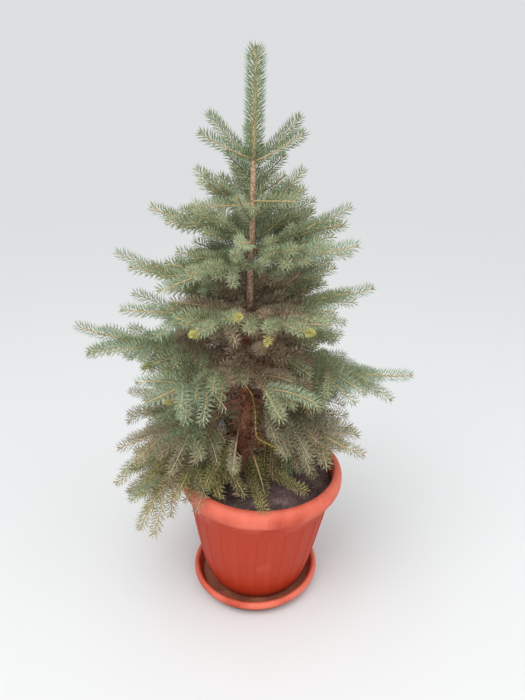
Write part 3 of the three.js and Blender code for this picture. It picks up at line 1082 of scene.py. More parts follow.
@dataclass
class Soil:
    """Potting soil: a crumbly surface with loose crumbs and fallen needles on it."""

    finish: Earth = Earth("peat_and_loam", "#443436", "#6C5657", "#AE9A96", roughness=0.95)
    depth: float = 60.0
    segments: int = 150
    rings: int = 46
    slack: float = 1.5
    edge_drop: float = 6.0
    edge_from: float = 165.0
    trunk_place: tuple[float, float] = (-60.0, 43.0)
    trunk_reach: float = 30.0
    lumps: tuple[tuple[float, float], ...] = ((17.0, 5.0), (6.0, 3.4))
    crumbs: int = 1500
    crumb_sizes: tuple[float, float] = (1.3, 3.6)
    litter: int = 620
    litter_length: float = 17.0
    litter_radius: float = 0.75
    rust_share: float = 0.6
    strewn_to: float = 212.0
    leaf_place: tuple[float, float] = (-76.0, -110.0)
    leaf_heading: float = 158.0
    leaf_length: float = 27.0
    leaf_width: float = 15.0
    leaf_curl: float = 5.0
    seed: int = 7

    def surface(self, x: np.ndarray | float, y: np.ndarray | float) -> np.ndarray:
        """Height of the soil's broad lie above its level, at places round the pot's middle.

        Args:
            x: how far right of the middle they are.
            y: how far behind it they are.

        Returns:
            One height for each place.
        """
        # Broad swells, with smaller ones between them
        lie = 2.5 * np.sin(x / 47) * np.cos(y / 61) + 1.5 * np.sin(x / 19 + 2) * np.sin(y / 23)
        edge = np.clip((np.hypot(x, y) - self.edge_from) / 50, 0, 1)
        away = (x - self.trunk_place[0]) ** 2 + (y - self.trunk_place[1]) ** 2
        trunk = np.exp(-away / self.trunk_reach**2)
        return lie * (1 - trunk) - self.edge_drop * edge**2 - 1.0

    def build(self) -> None:
        """Makes the soil's body, its crumbs and litter, and the leaf that lies on it."""
        self.body()
        self.scatter()
        self.leaf()

    def body(self) -> None:
        """Turns the soil's body and roughens its surface."""
        wall, foot = RIM_INNER - self.slack, SOIL_TOP - self.depth
        profile = [(100.0, foot), (wall - 12, foot), (wall, SOIL_TOP - 14), (wall, SOIL_TOP - 7)]
        profile += [(mix(wall, 2.0, i / self.rings), SOIL_TOP) for i in range(1, self.rings + 1)]
        soil = ring_shell("soil_bed", profile, self.segments, pot_centre)
        mesh = soil.data
        places = np.empty(len(mesh.vertices) * 3)
        mesh.vertices.foreach_get("co", places)
        places = places.reshape(-1, 3)
        middle = np.array(pot_centre(SOIL_TOP)) * MM
        x, y = ((places[:, i] - middle[i]) / MM for i in (0, 1))
        upper = places[:, 2] > (SOIL_TOP - 8) * MM
        places[upper, 2] += self.surface(x, y)[upper] * MM
        mesh.vertices.foreach_set("co", places.ravel())
        group = soil.vertex_groups.new(name="surface")
        group.add(np.flatnonzero(upper).tolist(), 1.0, "REPLACE")
        for size, strength in self.lumps:
            roughen(
                soil, "CLOUDS", size, strength, mid_level=0.62, direction="Z",
                vertex_group="surface",
            )
        shade(soil, 60)
        dress_piece(soil, self.finish)
        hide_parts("soil")

    def leaf(self) -> None:
        """Lays the dry leaf that has blown onto the soil, curled up at its edges."""
        bpy.ops.object.select_all(action="DESELECT")
        bpy.ops.mesh.primitive_grid_add(x_subdivisions=14, y_subdivisions=8, size=2)
        leaf = bpy.context.active_object
        leaf.name = leaf.data.name = "soil_leaf"
        heading = math.radians(self.leaf_heading)
        x, y = self.leaf_place
        middle = np.array(pot_centre(SOIL_TOP)) + [x, y, float(self.surface(x, y)) + 1.5]
        for vertex in leaf.data.vertices:
            along, across = vertex.co.x, vertex.co.y
            wide = self.leaf_width / 2 * (1 - abs(along) ** 2.2) + 0.4
            s, t = along * self.leaf_length / 2, across * wide
            curl = self.leaf_curl * across**2 * (1 - along**2) + 3.0 * along**2
            vertex.co = [
                (middle[0] + s * math.cos(heading) - t * math.sin(heading)) * MM,
                (middle[1] + s * math.sin(heading) + t * math.cos(heading)) * MM,
                (middle[2] + curl + 0.6 * math.sin(9 * along)) * MM,
            ]
        apply_modifier(leaf, "SOLIDIFY", thickness=0.6 * MM)
        shade(leaf, 60)
        dress_piece(leaf, DryLeaf("leaf_dried"))

    def scatter(self) -> None:
        """Strews crumbs and fallen needles over the surface."""
        random = np.random.default_rng(self.seed)
        middle = np.array(pot_centre(SOIL_TOP))
        crumbs = Store()
        litter = {Tint.RUST: Store(), Tint.DUN: Store()}
        shape = np.array([self.litter_length]), np.array([self.litter_radius]), 0.1
        for number in range(self.crumbs + self.litter):
            r = self.strewn_to * math.sqrt(random.random())
            turn = 2 * math.pi * random.random()
            x, y = r * math.cos(turn), r * math.sin(turn)
            place = middle + np.array([x, y, float(self.surface(x, y))])
            if number < self.crumbs:
                size = self.crumb_sizes[0] + self.crumb_sizes[1] * random.random() ** 3
                crumbs.add(*crumb(place, size, random))
                continue
            heading = 2 * math.pi * random.random()
            rise = 0.25 * (random.random() - 0.3)
            lie = unit(np.array([[math.cos(heading), math.sin(heading), rise]]))
            tint = Tint.RUST if random.random() < self.rust_share else Tint.DUN
            root = place + UP * (1.2 + 2 * random.random())
            litter[tint].add(*spikes(root[None], lie, *shape))
        crumbs.pieces("soil_crumbs", self.finish, "potting_soil")
        for tint, store in litter.items():
            store.pieces(f"litter_{tint.name.lower()}", tint.value, "needles_lower")


def crumb(
    place: np.ndarray, size: float, random: np.random.Generator
) -> tuple[np.ndarray, np.ndarray]:
    """A lump of soil with six uneven corners.

    Args:
        place: its middle.
        size: its radius.
        random: where its unevenness is drawn from.

    Returns:
        Its vertices and triangles.
    """
    corners = np.array([[1, 0, 0], [0, 1, 0], [-1, 0, 0], [0, -1, 0], [0, 0, 1], [0, 0, -1]], float)
    corners *= size * (0.6 + 0.6 * random.random(6))[:, None]
    faces = np.array(
        [[0, 1, 4], [1, 2, 4], [2, 3, 4], [3, 0, 4], [1, 0, 5], [2, 1, 5], [3, 2, 5], [0, 3, 5]]
    )
    turn = random.random() * math.pi
    cosine, sine = math.cos(turn), math.sin(turn)
    # Turned about the vertical, and a little flat
    spin = np.array([[cosine, -sine, 0], [sine, cosine, 0], [0, 0, 0.8]])
    return place + corners @ spin.T, faces


def spikes(
    roots: np.ndarray, directions: np.ndarray, lengths: np.ndarray, radii: np.ndarray, lift: float
) -> tuple[np.ndarray, np.ndarray]:
    """Needles: each is a slim three-sided spindle that curves up a little.

    Args:
        roots: where each needle leaves its shoot.
        directions: which way each points.
        lengths: how long each is.
        radii: half the thickness of each.
        lift: how far the tips turn up, as a share of the length.

    Returns:
        Vertices and triangles.
    """
    # Square to no needle that grows here
    aside = np.array([0.31, 0.17, 0.93])
    side = unit(np.cross(directions, aside))
    over = np.cross(side, directions)
    span = directions * lengths[:, None]
    belly = roots + span * 0.52
    tips = roots + span + UP * (lift * lengths)[:, None]
    ring = [
        belly + side * (radii * math.cos(a))[:, None] + over * (radii * math.sin(a))[:, None]
        for a in 2 * np.pi * np.arange(3) / 3
    ]
    points = np.stack([roots, *ring, tips], axis=1).reshape(-1, 3)
    first = np.arange(len(roots))[:, None, None] * 5
    block = np.array([[0, 2, 1], [0, 3, 2], [0, 1, 3], [4, 1, 2], [4, 2, 3], [4, 3, 1]])
    return points, (first + block).reshape(-1, 3)


# The plant


@dataclass
class Trunk:
    """The trunk from its flared foot to the leader, in scaly bark."""

    sides: int = 36
    ring_pitch: float = 5.0
    flakes: float = 1.0
    into_soil: float = 3.0
    into_leader: float = 6.0

    def build(self) -> None:
        """Turns the trunk ring by ring along its lean and raises its bark."""
        top = TRUNK_END + self.into_leader
        count = int((top - TRUNK_FOOT) / self.ring_pitch)
        heights = [mix(TRUNK_FOOT - self.into_soil, top, i / count) for i in range(count + 1)]
        rings = [(trunk_radius(max(z, TRUNK_FOOT)) + self.flakes, z) for z in heights]
        trunk = ring_shell("trunk_bark", rings, self.sides, trunk_centre)
        for texture, size, strength in (("VORONOI", 9.0, 2.2), ("CLOUDS", 4.0, 1.2)):
            roughen(trunk, texture, size, strength, mid_level=0.5)
        shade(trunk, 60)
        dress_piece(trunk, Wood.TRUNK.value)
        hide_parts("trunk")


@dataclass(frozen=True)
class Whorl:
    """A ring of boughs: each is heading, length, slope at the trunk and slope at the tip.

    Attributes:
        name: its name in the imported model.
        height: its height above the ground.
        stretch: the stretch of trunk that its boughs leave from.
        sag: how far they sag at their middle, in degrees.
        limb: whether a separate limb carries their foliage.
        lift: how far its side shoots turn up, or down where it is less than 0.
        years: how many years' growth a bough shows.
        sides: how many side shoots each of those years carries.
        fan: how long its side shoots are against the rule's.
        boughs: the boughs.
    """

    name: str
    height: float
    stretch: float
    sag: float
    limb: bool
    lift: float
    years: int
    sides: int
    fan: float
    boughs: tuple[tuple[float, float, float, float], ...]


WHORLS = (
    Whorl("top", 1298, 16, 0, False, 0.22, 1, 2, 1.0, (
        (22, 170, 36, 46), (95, 150, 30, 40), (158, 170, 38, 48), (203, 150, 18, 30),
        (335, 155, 20, 30),
    )),
    Whorl("second", 1178, 50, 0, False, 0.2, 2, 5, 1.0, (
        (20, 190, 26, 50), (96, 170, 30, 40), (166, 190, 24, 48), (216, 150, 0, 4),
        (268, 115, 12, 16), (318, 150, 4, 4),
    )),
    Whorl("upper", 1072, 44, -4, False, 0.14, 3, 6, 1.05, (
        (8, 300, 26, 28), (54, 280, 34, 30), (118, 275, 28, 28), (180, 280, 22, 26),
        (228, 310, -8, -6), (268, 255, 12, 16), (324, 310, 0, 20),
    )),
    Whorl("middle", 905, 44, -6, False, 0.03, 3, 6, 1.1, (
        (2, 355, 14, 18), (48, 360, 22, 22), (108, 370, 18, 20), (178, 395, 24, 26),
        (206, 360, 8, 16), (246, 330, 2, 12), (300, 320, 4, 14),
    )),
    Whorl("lower", 780, 44, -8, True, -0.22, 4, 7, 1.25, (
        (186, 495, 10, 23), (228, 390, -4, 8), (284, 365, -4, 6), (354, 485, -14, 6),
        (52, 445, 4, 14), (118, 455, 6, 16),
    )),
    Whorl("skirt", 615, 44, -10, False, -0.14, 4, 6, 1.2, (
        (158, 410, 2, 4), (214, 400, 2, -4), (262, 320, -2, 4), (322, 410, 0, 0),
        (30, 400, 2, 6), (88, 420, 2, 6),
    )),
    Whorl("lowest", 490, 50, 0, True, -0.3, 4, 6, 1.35, (
        (182, 420, 6, -40), (214, 440, 8, -62), (2, 350, 2, 2), (112, 375, 4, -6),
        (292, 215, -8, -50), (244, 240, -4, -30),
    )),
)
UPPER_ZONE = ("top", "second", "upper", "middle")
# Side shoots of one year's growth: how far along it each starts, and its strength. The
# strong ones sit just under the year's end.
SIDE_PLACES = (
    (0.12, 0.5), (0.3, 0.6), (0.48, 0.65), (0.66, 0.75), (0.82, 0.85), (0.92, 1.0), (0.98, 0.95),
)
# Stretches of the trunk that show between the sprays from the camera: from one height to
# another, with the room beside the trunk
TRUNK_SHOWS = (
    (405, 467, 36), (467, 640, 52), (892, 1010, 22), (1078, 1138, 24), (1180, 1215, 20),
    (1256, 1284, 20),
)
# Places whose nearest tips burst into a second, fresh growth
FRESH_TIPS = (
    (-177, -250, 970), (120, -250, 975), (-24, -200, 1010), (93, -200, 990), (-300, -50, 780),
    (-223, -100, 694), (293, -50, 786), (60, -240, 905), (250, 140, 900), (-120, 260, 820),
)
# A dead shoot that hangs from the trunk in front of it, from its root to its tip
STRAW_ROUTE = (
    (-38, 44, 655), (-22, 20, 670), (-6, 8, 650), (2, 2, 600), (3, -2, 560), (4, -4, 520),
    (8, -8, 508), (34, -16, 500), (80, -28, 480), (119, -40, 462),
)
# Whole numbers that name the draws of the leader and of the boughs between the whorls
LEADER_KEY = 9000
INNER_KEY = 5000


@dataclass(frozen=True)
class Shoot:
    """One axis of the plant with the growth it carries.

    Attributes:
        line: its axis.
        years: how many years it has grown for.
        root: its radius where it starts.
        order: 0 for a bough, 1 for its side shoots, 2 for their twigs.
        key: the whole number that its draws are named by.
        whorl: the number of its whorl.
        bough: the number of its bough in the whorl, or -1 where it stands on the trunk itself.
        last_year: how long the last year's growth is against the others.
    """

    line: Line
    years: int
    root: float
    order: int
    key: int
    whorl: int
    bough: int
    last_year: float = 1.4

    @property
    def leader(self) -> bool:
        """Whether it is the plant's leader."""
        return self.key == LEADER_KEY

    @property
    def growth(self) -> list[tuple[float, float]]:
        """Where each year's growth begins and ends along it: the last is the longest.

        Returns:
            A pair of distances for each year.
        """
        shares = np.cumsum([0.0] + [1.0] * (self.years - 1) + [self.last_year])
        ends = [float(v) for v in shares / shares[-1] * self.line.length]
        return list(zip(ends, ends[1:]))


@dataclass
class Crown:
    """Boughs, side shoots, twigs and needles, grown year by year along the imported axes.

    A radius rule is a radius, and how much of the shoot's length is added to it.
    """

    # Boughs
    axis_steps: int = 24
    sway: float = 9.0
    bough_year: float = 105.0
    limb_radius: tuple[float, float] = (3.6, 0.011)
    bough_radius: tuple[float, float] = (1.6, 0.007)
    # Side shoots and their twigs; pairs hold one value for each
    side_angle: float = 52.0
    side_angle_spread: float = 8.0
    side_roll_spread: tuple[float, float] = (26.0, 18.0)
    side_share: float = 0.52
    side_extra: float = 36.0
    side_bend: float = 0.3
    side_step: float = 12.0
    side_year: float = 78.0
    side_radius: tuple[tuple[float, float], ...] = ((1.5, 0.003), (1.3, 0.003))
    longest_side: float = 175.0
    shortest_side: float = 34.0
    bare_foot: float = 0.12
    # Weaker boughs on the trunk between the whorls
    inner_from: float = 410.0
    inner_to: float = TRUNK_END - 50.0
    inner_low: float = 660.0
    inner_lowest_slope: float = -4.0
    inner_turned_below: float = 960.0
    # Each is a height, and the pitch of the boughs below it
    inner_pitches: tuple[tuple[float, float], ...] = ((520.0, 3.6), (660.0, 6.0), (TRUNK_END, 12.0))
    # At the trunk's foot and at its top
    inner_lengths: tuple[float, float] = (290.0, 105.0)
    inner_slopes: tuple[float, float] = (-6.0, 30.0)
    inner_heading_spread: float = 20.0
    inner_slope_spread: float = 12.0
    inner_rise: float = 14.0
    inner_steps: int = 12
    inner_radius: float = 2.1
    inner_two_years: float = 130.0
    # Wood
    leader_radius: float = 7.0
    leader_tip: float = 4.2
    shoot_tip: float = 1.45
    old_sides: int = 8
    shoot_sides: tuple[int, int, int] = (5, 4, 3)
    old_pitch: float = 7.0
    shoot_pitch: float = 14.0
    old_unevenness: float = 0.16
    # Needles, which stand in rings
    ring_pitch: float = 6.5
    ring_needles: int = 6
    ring_turn: float = math.radians(23.0)
    top_ring: int = 8
    leader_pitch: float = 5.0
    leader_ring: int = 9
    needle_length: float = 26.5
    twig_needle_share: float = 0.9
    leader_needle: float = 32.0
    needle_radius: float = 1.3
    leader_needle_radius: float = 1.3 * 1.15
    needle_angle: float = 60.0
    needle_lift: float = 0.05
    first_needle: float = 4.0
    # How far out the crown's tips begin, as a share of the whorl's longest bough
    tips_from: float = 0.92
    thinned_pitch: float = 2.1
    thinned_within: float = 0.3
    # Heights under which needles are duller
    dull_below: float = 500.0
    dun_below: float = 570.0
    grey_below: float = 610.0
    # Fresh tips, dead twigs and the dead yellow shoot
    fresh_needles: int = 60
    fresh_lengths: tuple[float, float] = (15.0, 19.0)
    fresh_leans: tuple[float, float] = (62.0, 14.0)
    upper_above: float = 850.0
    dead_twigs: int = 140
    twigs_from: float = 388.0
    twigs_to: float = 870.0
    twig_lengths: tuple[float, float] = (60.0, 150.0)
    twig_radius: float = 1.5
    twig_tip: float = 0.5
    twig_droop: float = 6.0
    twig_steps: int = 6
    side_twigs: int = 5
    side_twig_lengths: tuple[float, float] = (18.0, 46.0)
    side_twig_angle: float = 55.0
    side_twig_radius: float = 0.9
    straw_radii: tuple[float, float] = (2.4, 1.3)
    straw_rings: int = 41
    straw_needles: int = 60
    straw_needle_lengths: tuple[float, float] = (13.0, 22.0)
    straw_needle_radius: float = 1.2
    straw_needles_from: float = 90.0
    seed: int = 20
    random: np.random.Generator = field(init=False)
    shoots: list[Shoot] = field(default_factory=list)
    needles: dict[tuple[Tint, bool], Store] = field(default_factory=lambda: defaultdict(Store))
    wood: dict[Wood, Store] = field(default_factory=lambda: defaultdict(Store))

    def build(self) -> None:
        """Grows the whole crown and makes its pieces."""
        self.random = np.random.default_rng(self.seed)
        for w, whorl in enumerate(WHORLS):
            for number in range(len(whorl.boughs)):
                self.grow_bough(w, number)
        self.grow_inner()
        self.grow_leader()
        for shoot in self.shoots:
            self.dress_shoot(shoot)
        self.add_fresh_tips()
        self.add_dead_twigs()
        self.add_straw()
        self.make_pieces()

    def grow_bough(self, w: int, number: int) -> None:
        """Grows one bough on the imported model's axis, with everything that it carries.

        Args:
            w: the whorl's number.
            number: the bough's number in it.
        """
        whorl, key = WHORLS[w], w * 16 + number
        heading, length, at_trunk, at_tip = whorl.boughs[number]
        # Neighbours leave the trunk half the stretch apart
        level = (number % 2) / 2 + (number // 2) / len(whorl.boughs)
        root = trunk_centre(whorl.height + whorl.stretch * (level - 0.4))
        slopes = (at_trunk, (at_trunk + at_tip) / 2 + 2 * whorl.sag, at_tip)
        sway = spread(self.sway, key, 1)
        middles = [(i + 0.5) / self.axis_steps for i in range(self.axis_steps)]
        aims = [(heading + sway * t, blend(slopes, t)) for t in middles]
        line = walked(root, length / self.axis_steps, aims)
        radius, gain = self.limb_radius if whorl.limb else self.bough_radius
        years = min(whorl.years, max(1, round(length / self.bough_year)))
        self.grow(Shoot(line, years, radius + gain * length, 0, key, w, number))

    def grow(self, shoot: Shoot) -> None:
        """Keeps a shoot, and grows side shoots on every year but its last.

        Args:
            shoot: the shoot.
        """
        self.shoots.append(shoot)
        if shoot.order > 1:
            return
        number = 0
        for node, (start, end) in enumerate(shoot.growth[:-1]):
            for share, strength in SIDE_PLACES[-WHORLS[shoot.whorl].sides :]:
                number += 1
                at = mix(start, end, share)
                if at > self.bare_foot * shoot.line.length:
                    self.grow_side(shoot, number, at, strength, shoot.years - node - 1)

    def grow_side(self, parent: Shoot, number: int, at: float, strength: float, years: int) -> None:
        """Grows a side shoot where it has room.

        Args:
            parent: the shoot that carries it.
            number: its number on the parent.
            at: how far along the parent it starts.
            strength: its length as a share of the rule's.
            years: how many years it may have grown for.
        """
        whorl, order = WHORLS[parent.whorl], parent.order
        key = parent.key * 31 + number + 1000 * (order + 1)
        rule = self.side_share * (parent.line.length - at) + self.side_extra / (1 + order)
        wanted = min(self.longest_side, rule)
        wanted *= whorl.fan * strength * varied(0.15, key, 5)
        if wanted < self.shortest_side:
            return
        forward, across, over = parent.line.frame(at)
        side = -1 if number % 2 else 1
        roll = math.radians(spread(self.side_roll_spread[order], key, 3))
        angle = math.radians(self.side_angle + spread(self.side_angle_spread, key, 4))
        direction = (
            forward * math.cos(angle)
            + across * side * math.sin(angle) * math.cos(roll)
            + over * math.sin(angle) * math.sin(roll)
        )
        steps = max(4, round(wanted / self.side_step))
        points = [parent.line.at(at)]
        for i in range(steps):
            pull = self.side_bend * (i + 0.5) / steps
            ahead = direction * (1 - pull) + forward * pull + UP * whorl.lift * (0.3 + i / steps)
            points.append(points[-1] + unit(ahead) * wanted / steps)
        line = Line(np.array(points), wanted / steps).short_of_pot()
        if len(line.points) < 4 or hides_trunk(line.points).any():
            return
        radius, gain = self.side_radius[order]
        count = min(years, max(1, round(wanted / self.side_year)))
        root = radius + gain * wanted
        self.grow(Shoot(line, count, root, order + 1, key, parent.whorl, parent.bough))

    def grow_inner(self) -> None:
        """Grows the weaker boughs that stand on the trunk between the whorls."""
        height, number = self.inner_from, 0
        while height < self.inner_to:
            number += 1
            share = (height - TRUNK_FOOT) / (TRUNK_END - TRUNK_FOOT)
            heading = number * GOLDEN_ANGLE + spread(self.inner_heading_spread, number, 71)
            length = mix(*self.inner_lengths, share**0.8) * varied(0.25, number, 72)
            slope = mix(*self.inner_slopes, share) + spread(self.inner_slope_spread, number, 73)
            # Low ones don't droop, and have grown for one year only
            low = height < self.inner_low
            slope = max(slope, self.inner_lowest_slope) if low else slope
            line = self.inner_line(height, heading, slope, length)
            if height < self.inner_turned_below and hides_trunk(line.points[2:]).any():
                # It stands behind the trunk instead
                line = self.inner_line(height, -heading, slope, length)
            if len(line.points) > 4 and not hides_trunk(line.points[2:]).any():
                years = 1 if low or length < self.inner_two_years else 2
                w = min(range(len(WHORLS)), key=lambda i: abs(WHORLS[i].height - height))
                self.grow(Shoot(line, years, self.inner_radius, 1, INNER_KEY + number, w, -1))
            pitch = next(pitch for top, pitch in self.inner_pitches if height < top)
            height += pitch * varied(0.3, number, 74)

    def inner_line(self, height: float, heading: float, slope: float, length: float) -> Line:
        """The axis of a bough that stands on the trunk, as far as the pot leaves room.

        Args:
            height: its height on the trunk.
            heading: its heading.
            slope: its slope at the trunk; it rises from there.
            length: its length.

        Returns:
            The axis.
        """
        steps = self.inner_steps
        aims = [(heading, slope + self.inner_rise * i / steps) for i in range(steps)]
        return walked(trunk_centre(height), length / steps, aims).short_of_pot()

    def grow_leader(self) -> None:
        """Keeps the leader, which carries this year's longest needles."""
        heights = np.linspace(TRUNK_END - 30, STEM_TOP, 25)
        line = Line(np.array([trunk_centre(z) for z in heights]), heights[1] - heights[0])
        self.shoots.append(Shoot(line, 1, self.leader_radius, 0, LEADER_KEY, 0, -1))

    def tint(self, shoot: Shoot, age: int, share: float, height: float) -> Tint:
        """The tint of one year's needles.

        Args:
            shoot: the shoot that they are on.
            age: how many years old they are; 0 is this year's.
            share: how far out in the crown they are, from 0 at the trunk to 1 at the tips.
            height: their height above the ground.

        Returns:
            The tint.
        """
        luck = drawn(shoot.key, age, 9)
        name = WHORLS[shoot.whorl].name
        # The top whorl and the leader take the darker copy of the green, which is painted shade
        if name == "top":
            return Tint.DEEP
        if name == "lowest" or height < self.dull_below:
            return Tint.OLIVE if luck < 0.52 else Tint.GREEN if luck < 0.74 else Tint.DUN
        # Needles keep their colour where light reaches them, near the tips
        light = share + 0.25 * (luck - 0.5)
        if name in ("second", "upper"):
            # Some sprays here take the painted shade, the darker copy of the green
            return Tint.FROST if light > 0.8 else Tint.GREEN if luck < 0.85 else Tint.DEEP
        if name == "middle":
            light -= 0.2 if shoot.bough > 4 else 0.0
            return Tint.FROST if light > 0.72 else Tint.GREEN if light > 0.33 else Tint.DUN
        frosty = shoot.bough == 1 and share < 0.74
        dull = not frosty and (name == "skirt" or height < self.grey_below)
        if dull or height < self.dun_below:
            return Tint.DULL if light > 0.4 and luck > 0.3 else Tint.DUN
        if light > 0.44:
            return Tint.FROST if light > 0.62 else Tint.GREEN
        return Tint.DUN if light > 0.1 else Tint.RUST

    def dress_shoot(self, shoot: Shoot) -> None:
        """Adds a shoot's wood, its needles year by year and its bud.

        Args:
            shoot: the shoot.
        """
        line = shoot.line
        tip = self.leader_tip if shoot.leader else self.shoot_tip
        # Boughs keep the pale bark of their last year, and of the last two in the upper whorls
        young = 2 if shoot.whorl < 3 else 1
        for year, (start, end) in enumerate(shoot.growth):
            old = shoot.order == 0 and year < shoot.years - young
            inner = shoot.bough < 0 and not shoot.leader
            wood = Wood.BOUGH if old or inner else Wood.SHOOT
            sides = self.old_sides if old or shoot.leader else self.shoot_sides[shoot.order]
            count = max(3, round((end - start) / (self.old_pitch if old else self.shoot_pitch)) + 1)
            places = np.linspace(start, end, count)
            radii = np.interp(places, [0, line.length], [shoot.root, tip])
            if old:
                uneven = self.old_unevenness * (self.random.random((count, sides)) - 0.5)
                radii = radii[:, None] * (1 + uneven)
            add_tube(self.wood[wood], line, radii, sides, places)
            self.needle_year(shoot, start, end, shoot.years - 1 - year)
        if shoot.order < 2 and drawn(shoot.key, 8) < 0.5:
            size = 1.5 if shoot.leader else 0.9
            bud = line.beyond(np.arange(-0.4, 3), 2.67 * size)
            add_tube(self.wood[Wood.BUD], bud, np.array([1.4, 2.3, 1.8, 0.3]) * size, 5)

    def needle_year(self, shoot: Shoot, start: float, end: float, age: int) -> None:
        """Adds the needles of one year's growth.

        Args:
            shoot: the shoot.
            start: where the year's growth starts along it.
            end: where it ends.
            age: how many years old it is.
        """
        line, leader, random = shoot.line, shoot.leader, self.random
        middle = line.at((start + end) / 2)
        axis = np.array(trunk_centre(float(np.clip(middle[2], TRUNK_FOOT, STEM_TOP))))
        reach = max(bough[1] for bough in WHORLS[shoot.whorl].boughs)
        share = float(np.linalg.norm((middle - axis)[:2])) / (reach * self.tips_from)
        tint = self.tint(shoot, age, share, float(middle[2]))
        thinned = shoot.whorl > 3 and share < self.thinned_within
        pitch = self.ring_pitch * (self.thinned_pitch if thinned else 1.0)
        per_ring = self.top_ring if shoot.whorl == 0 else self.ring_needles
        size = self.needle_length * (1.0 if shoot.order < 2 else self.twig_needle_share)
        radius, tip = self.needle_radius, self.shoot_tip
        if leader:
            pitch, per_ring, size = self.leader_pitch, self.leader_ring, self.leader_needle
            radius, tip = self.leader_needle_radius, self.leader_tip
        first = start + (self.first_needle if start == 0 else 0)
        rings = int((end - first) / pitch)
        if rings < 1:
            return
        ring, rank = np.divmod(np.arange(rings * per_ring), per_ring)
        count = len(ring)
        along = first + (ring + 0.16 * random.random(count)) * (end - first) / rings
        forward, across, over = line.frame(along)
        # Rings start at another turn on each shoot
        turn = rank * 2 * math.pi / per_ring + ring * self.ring_turn + 0.09 * shoot.key
        turn += random.normal(0, 0.07, count)
        # Needles on a level shoot gather over it
        turn -= 0.0 if leader else 0.3 * np.sin(turn)
        outward = turned(over, across, turn)
        # Over the last 18 mm they close up around the bud
        near_tip = np.clip((line.length - along) / 18, 0, 1)
        lean = np.radians(self.needle_angle + 5 * np.cos(turn) + random.normal(0, 2, count))
        direction = turned(forward, outward, lean * (0.4 + 0.6 * near_tip))
        direction = unit(direction + UP * (0.0 if leader else 0.1))
        # Shorter ones stand where the shoot starts
        near_root = np.clip((along + 8) / 22, 0.55, 1)
        lengths = size * near_root * (0.9 + 0.15 * random.random(count)) * (0.75 + 0.25 * near_tip)
        # They leave the shoot from under its bark
        bark = 0.7 * mix(shoot.root, tip, (start + end) / 2 / line.length)
        roots = line.at(along) + outward * bark
        tips = roots + direction * lengths[:, None]
        free = (room_at_pot(tips) > 0) & ~hides_trunk(tips)
        kept = [v[free] for v in (roots, direction, lengths)]
        zone = leader or WHORLS[shoot.whorl].name in UPPER_ZONE
        radii = np.full(int(free.sum()), radius)
        self.needles[tint, zone].add(*spikes(*kept, radii, self.needle_lift))

    def add_fresh_tips(self) -> None:
        """Adds a tuft of soft new needles at the tips that have burst into growth again."""
        tips = np.array([shoot.line.points[-1] for shoot in self.shoots])
        count = self.fresh_needles
        for place in FRESH_TIPS:
            nearest = int(np.argmin(np.linalg.norm(tips - np.array(place), axis=1)))
            line = self.shoots[nearest].line.beyond(np.arange(-1, 4), 6.0)
            add_tube(self.wood[Wood.SHOOT], line, np.array([2.0, 1.8, 1.4, 1.0]), 5)
            along = np.linspace(1, line.length, count)
            forward, across, over = line.frame(along)
            outward = turned(over, across, np.arange(count) * math.radians(GOLDEN_ANGLE))
            leans = np.linspace(*self.fresh_leans, count) + self.random.normal(0, 4, count)
            direction = unit(turned(forward, outward, np.radians(leans)))
            lengths = mix(*self.fresh_lengths, self.random.random(count))
            radii = np.full(count, self.needle_radius)
            store = self.needles[Tint.LIME, place[2] > self.upper_above]
            store.add(*spikes(line.at(along), direction, lengths, radii, self.needle_lift))

    def add_dead_twigs(self) -> None:
        """Adds the bare brittle twigs that are left on the trunk inside the lower crown."""
        for number in range(self.dead_twigs):
            height = mix(self.twigs_from, self.twigs_to, drawn(number, 31) ** 1.6)
            # Most stand on the side of the trunk that shows
            heading = -90 + spread(150, number, 32) * drawn(number, 33)
            length = mix(*self.twig_lengths, drawn(number, 34))
            length *= min(1.0, 0.4 + (height - self.twigs_from) / 150)
            slope = spread(25, number, 35)
            foot, radius = trunk_centre(height), self.twig_radius
            twig = self.dead_twig(foot, heading, slope, length, radius, number)
            for side in range(self.side_twigs):
                root = twig.at(length * (0.25 + 0.15 * side))
                angle = self.side_twig_angle * (1 if side % 2 else -1)
                turn = heading + angle + spread(25, number, side, 36)
                slope = spread(40, number, side, 37)
                short = mix(*self.side_twig_lengths, drawn(number, side, 38))
                self.dead_twig(root, turn, slope, short, self.side_twig_radius, number * 8 + side)

    def dead_twig(
        self, root: Sequence[float], heading: float, slope: float, length: float, radius: float,
        key: int,
    ) -> Line:
        """Adds one bare twig that droops and wavers.

        Args:
            root: where it starts.
            heading: its heading there.
            slope: its slope there.
            length: its length.
            radius: its radius there.
            key: the whole number that its draws are named by.

        Returns:
            Its axis.
        """
        steps = self.twig_steps
        turns = [heading + spread(24, key, i, 41) for i in range(steps)]
        slopes = [slope - self.twig_droop * i + spread(14, key, i, 42) for i in range(steps)]
        line = walked(root, length / steps, zip(turns, slopes))
        add_tube(self.wood[Wood.DEAD], line, np.linspace(radius, self.twig_tip, steps + 1), 3)
        return line

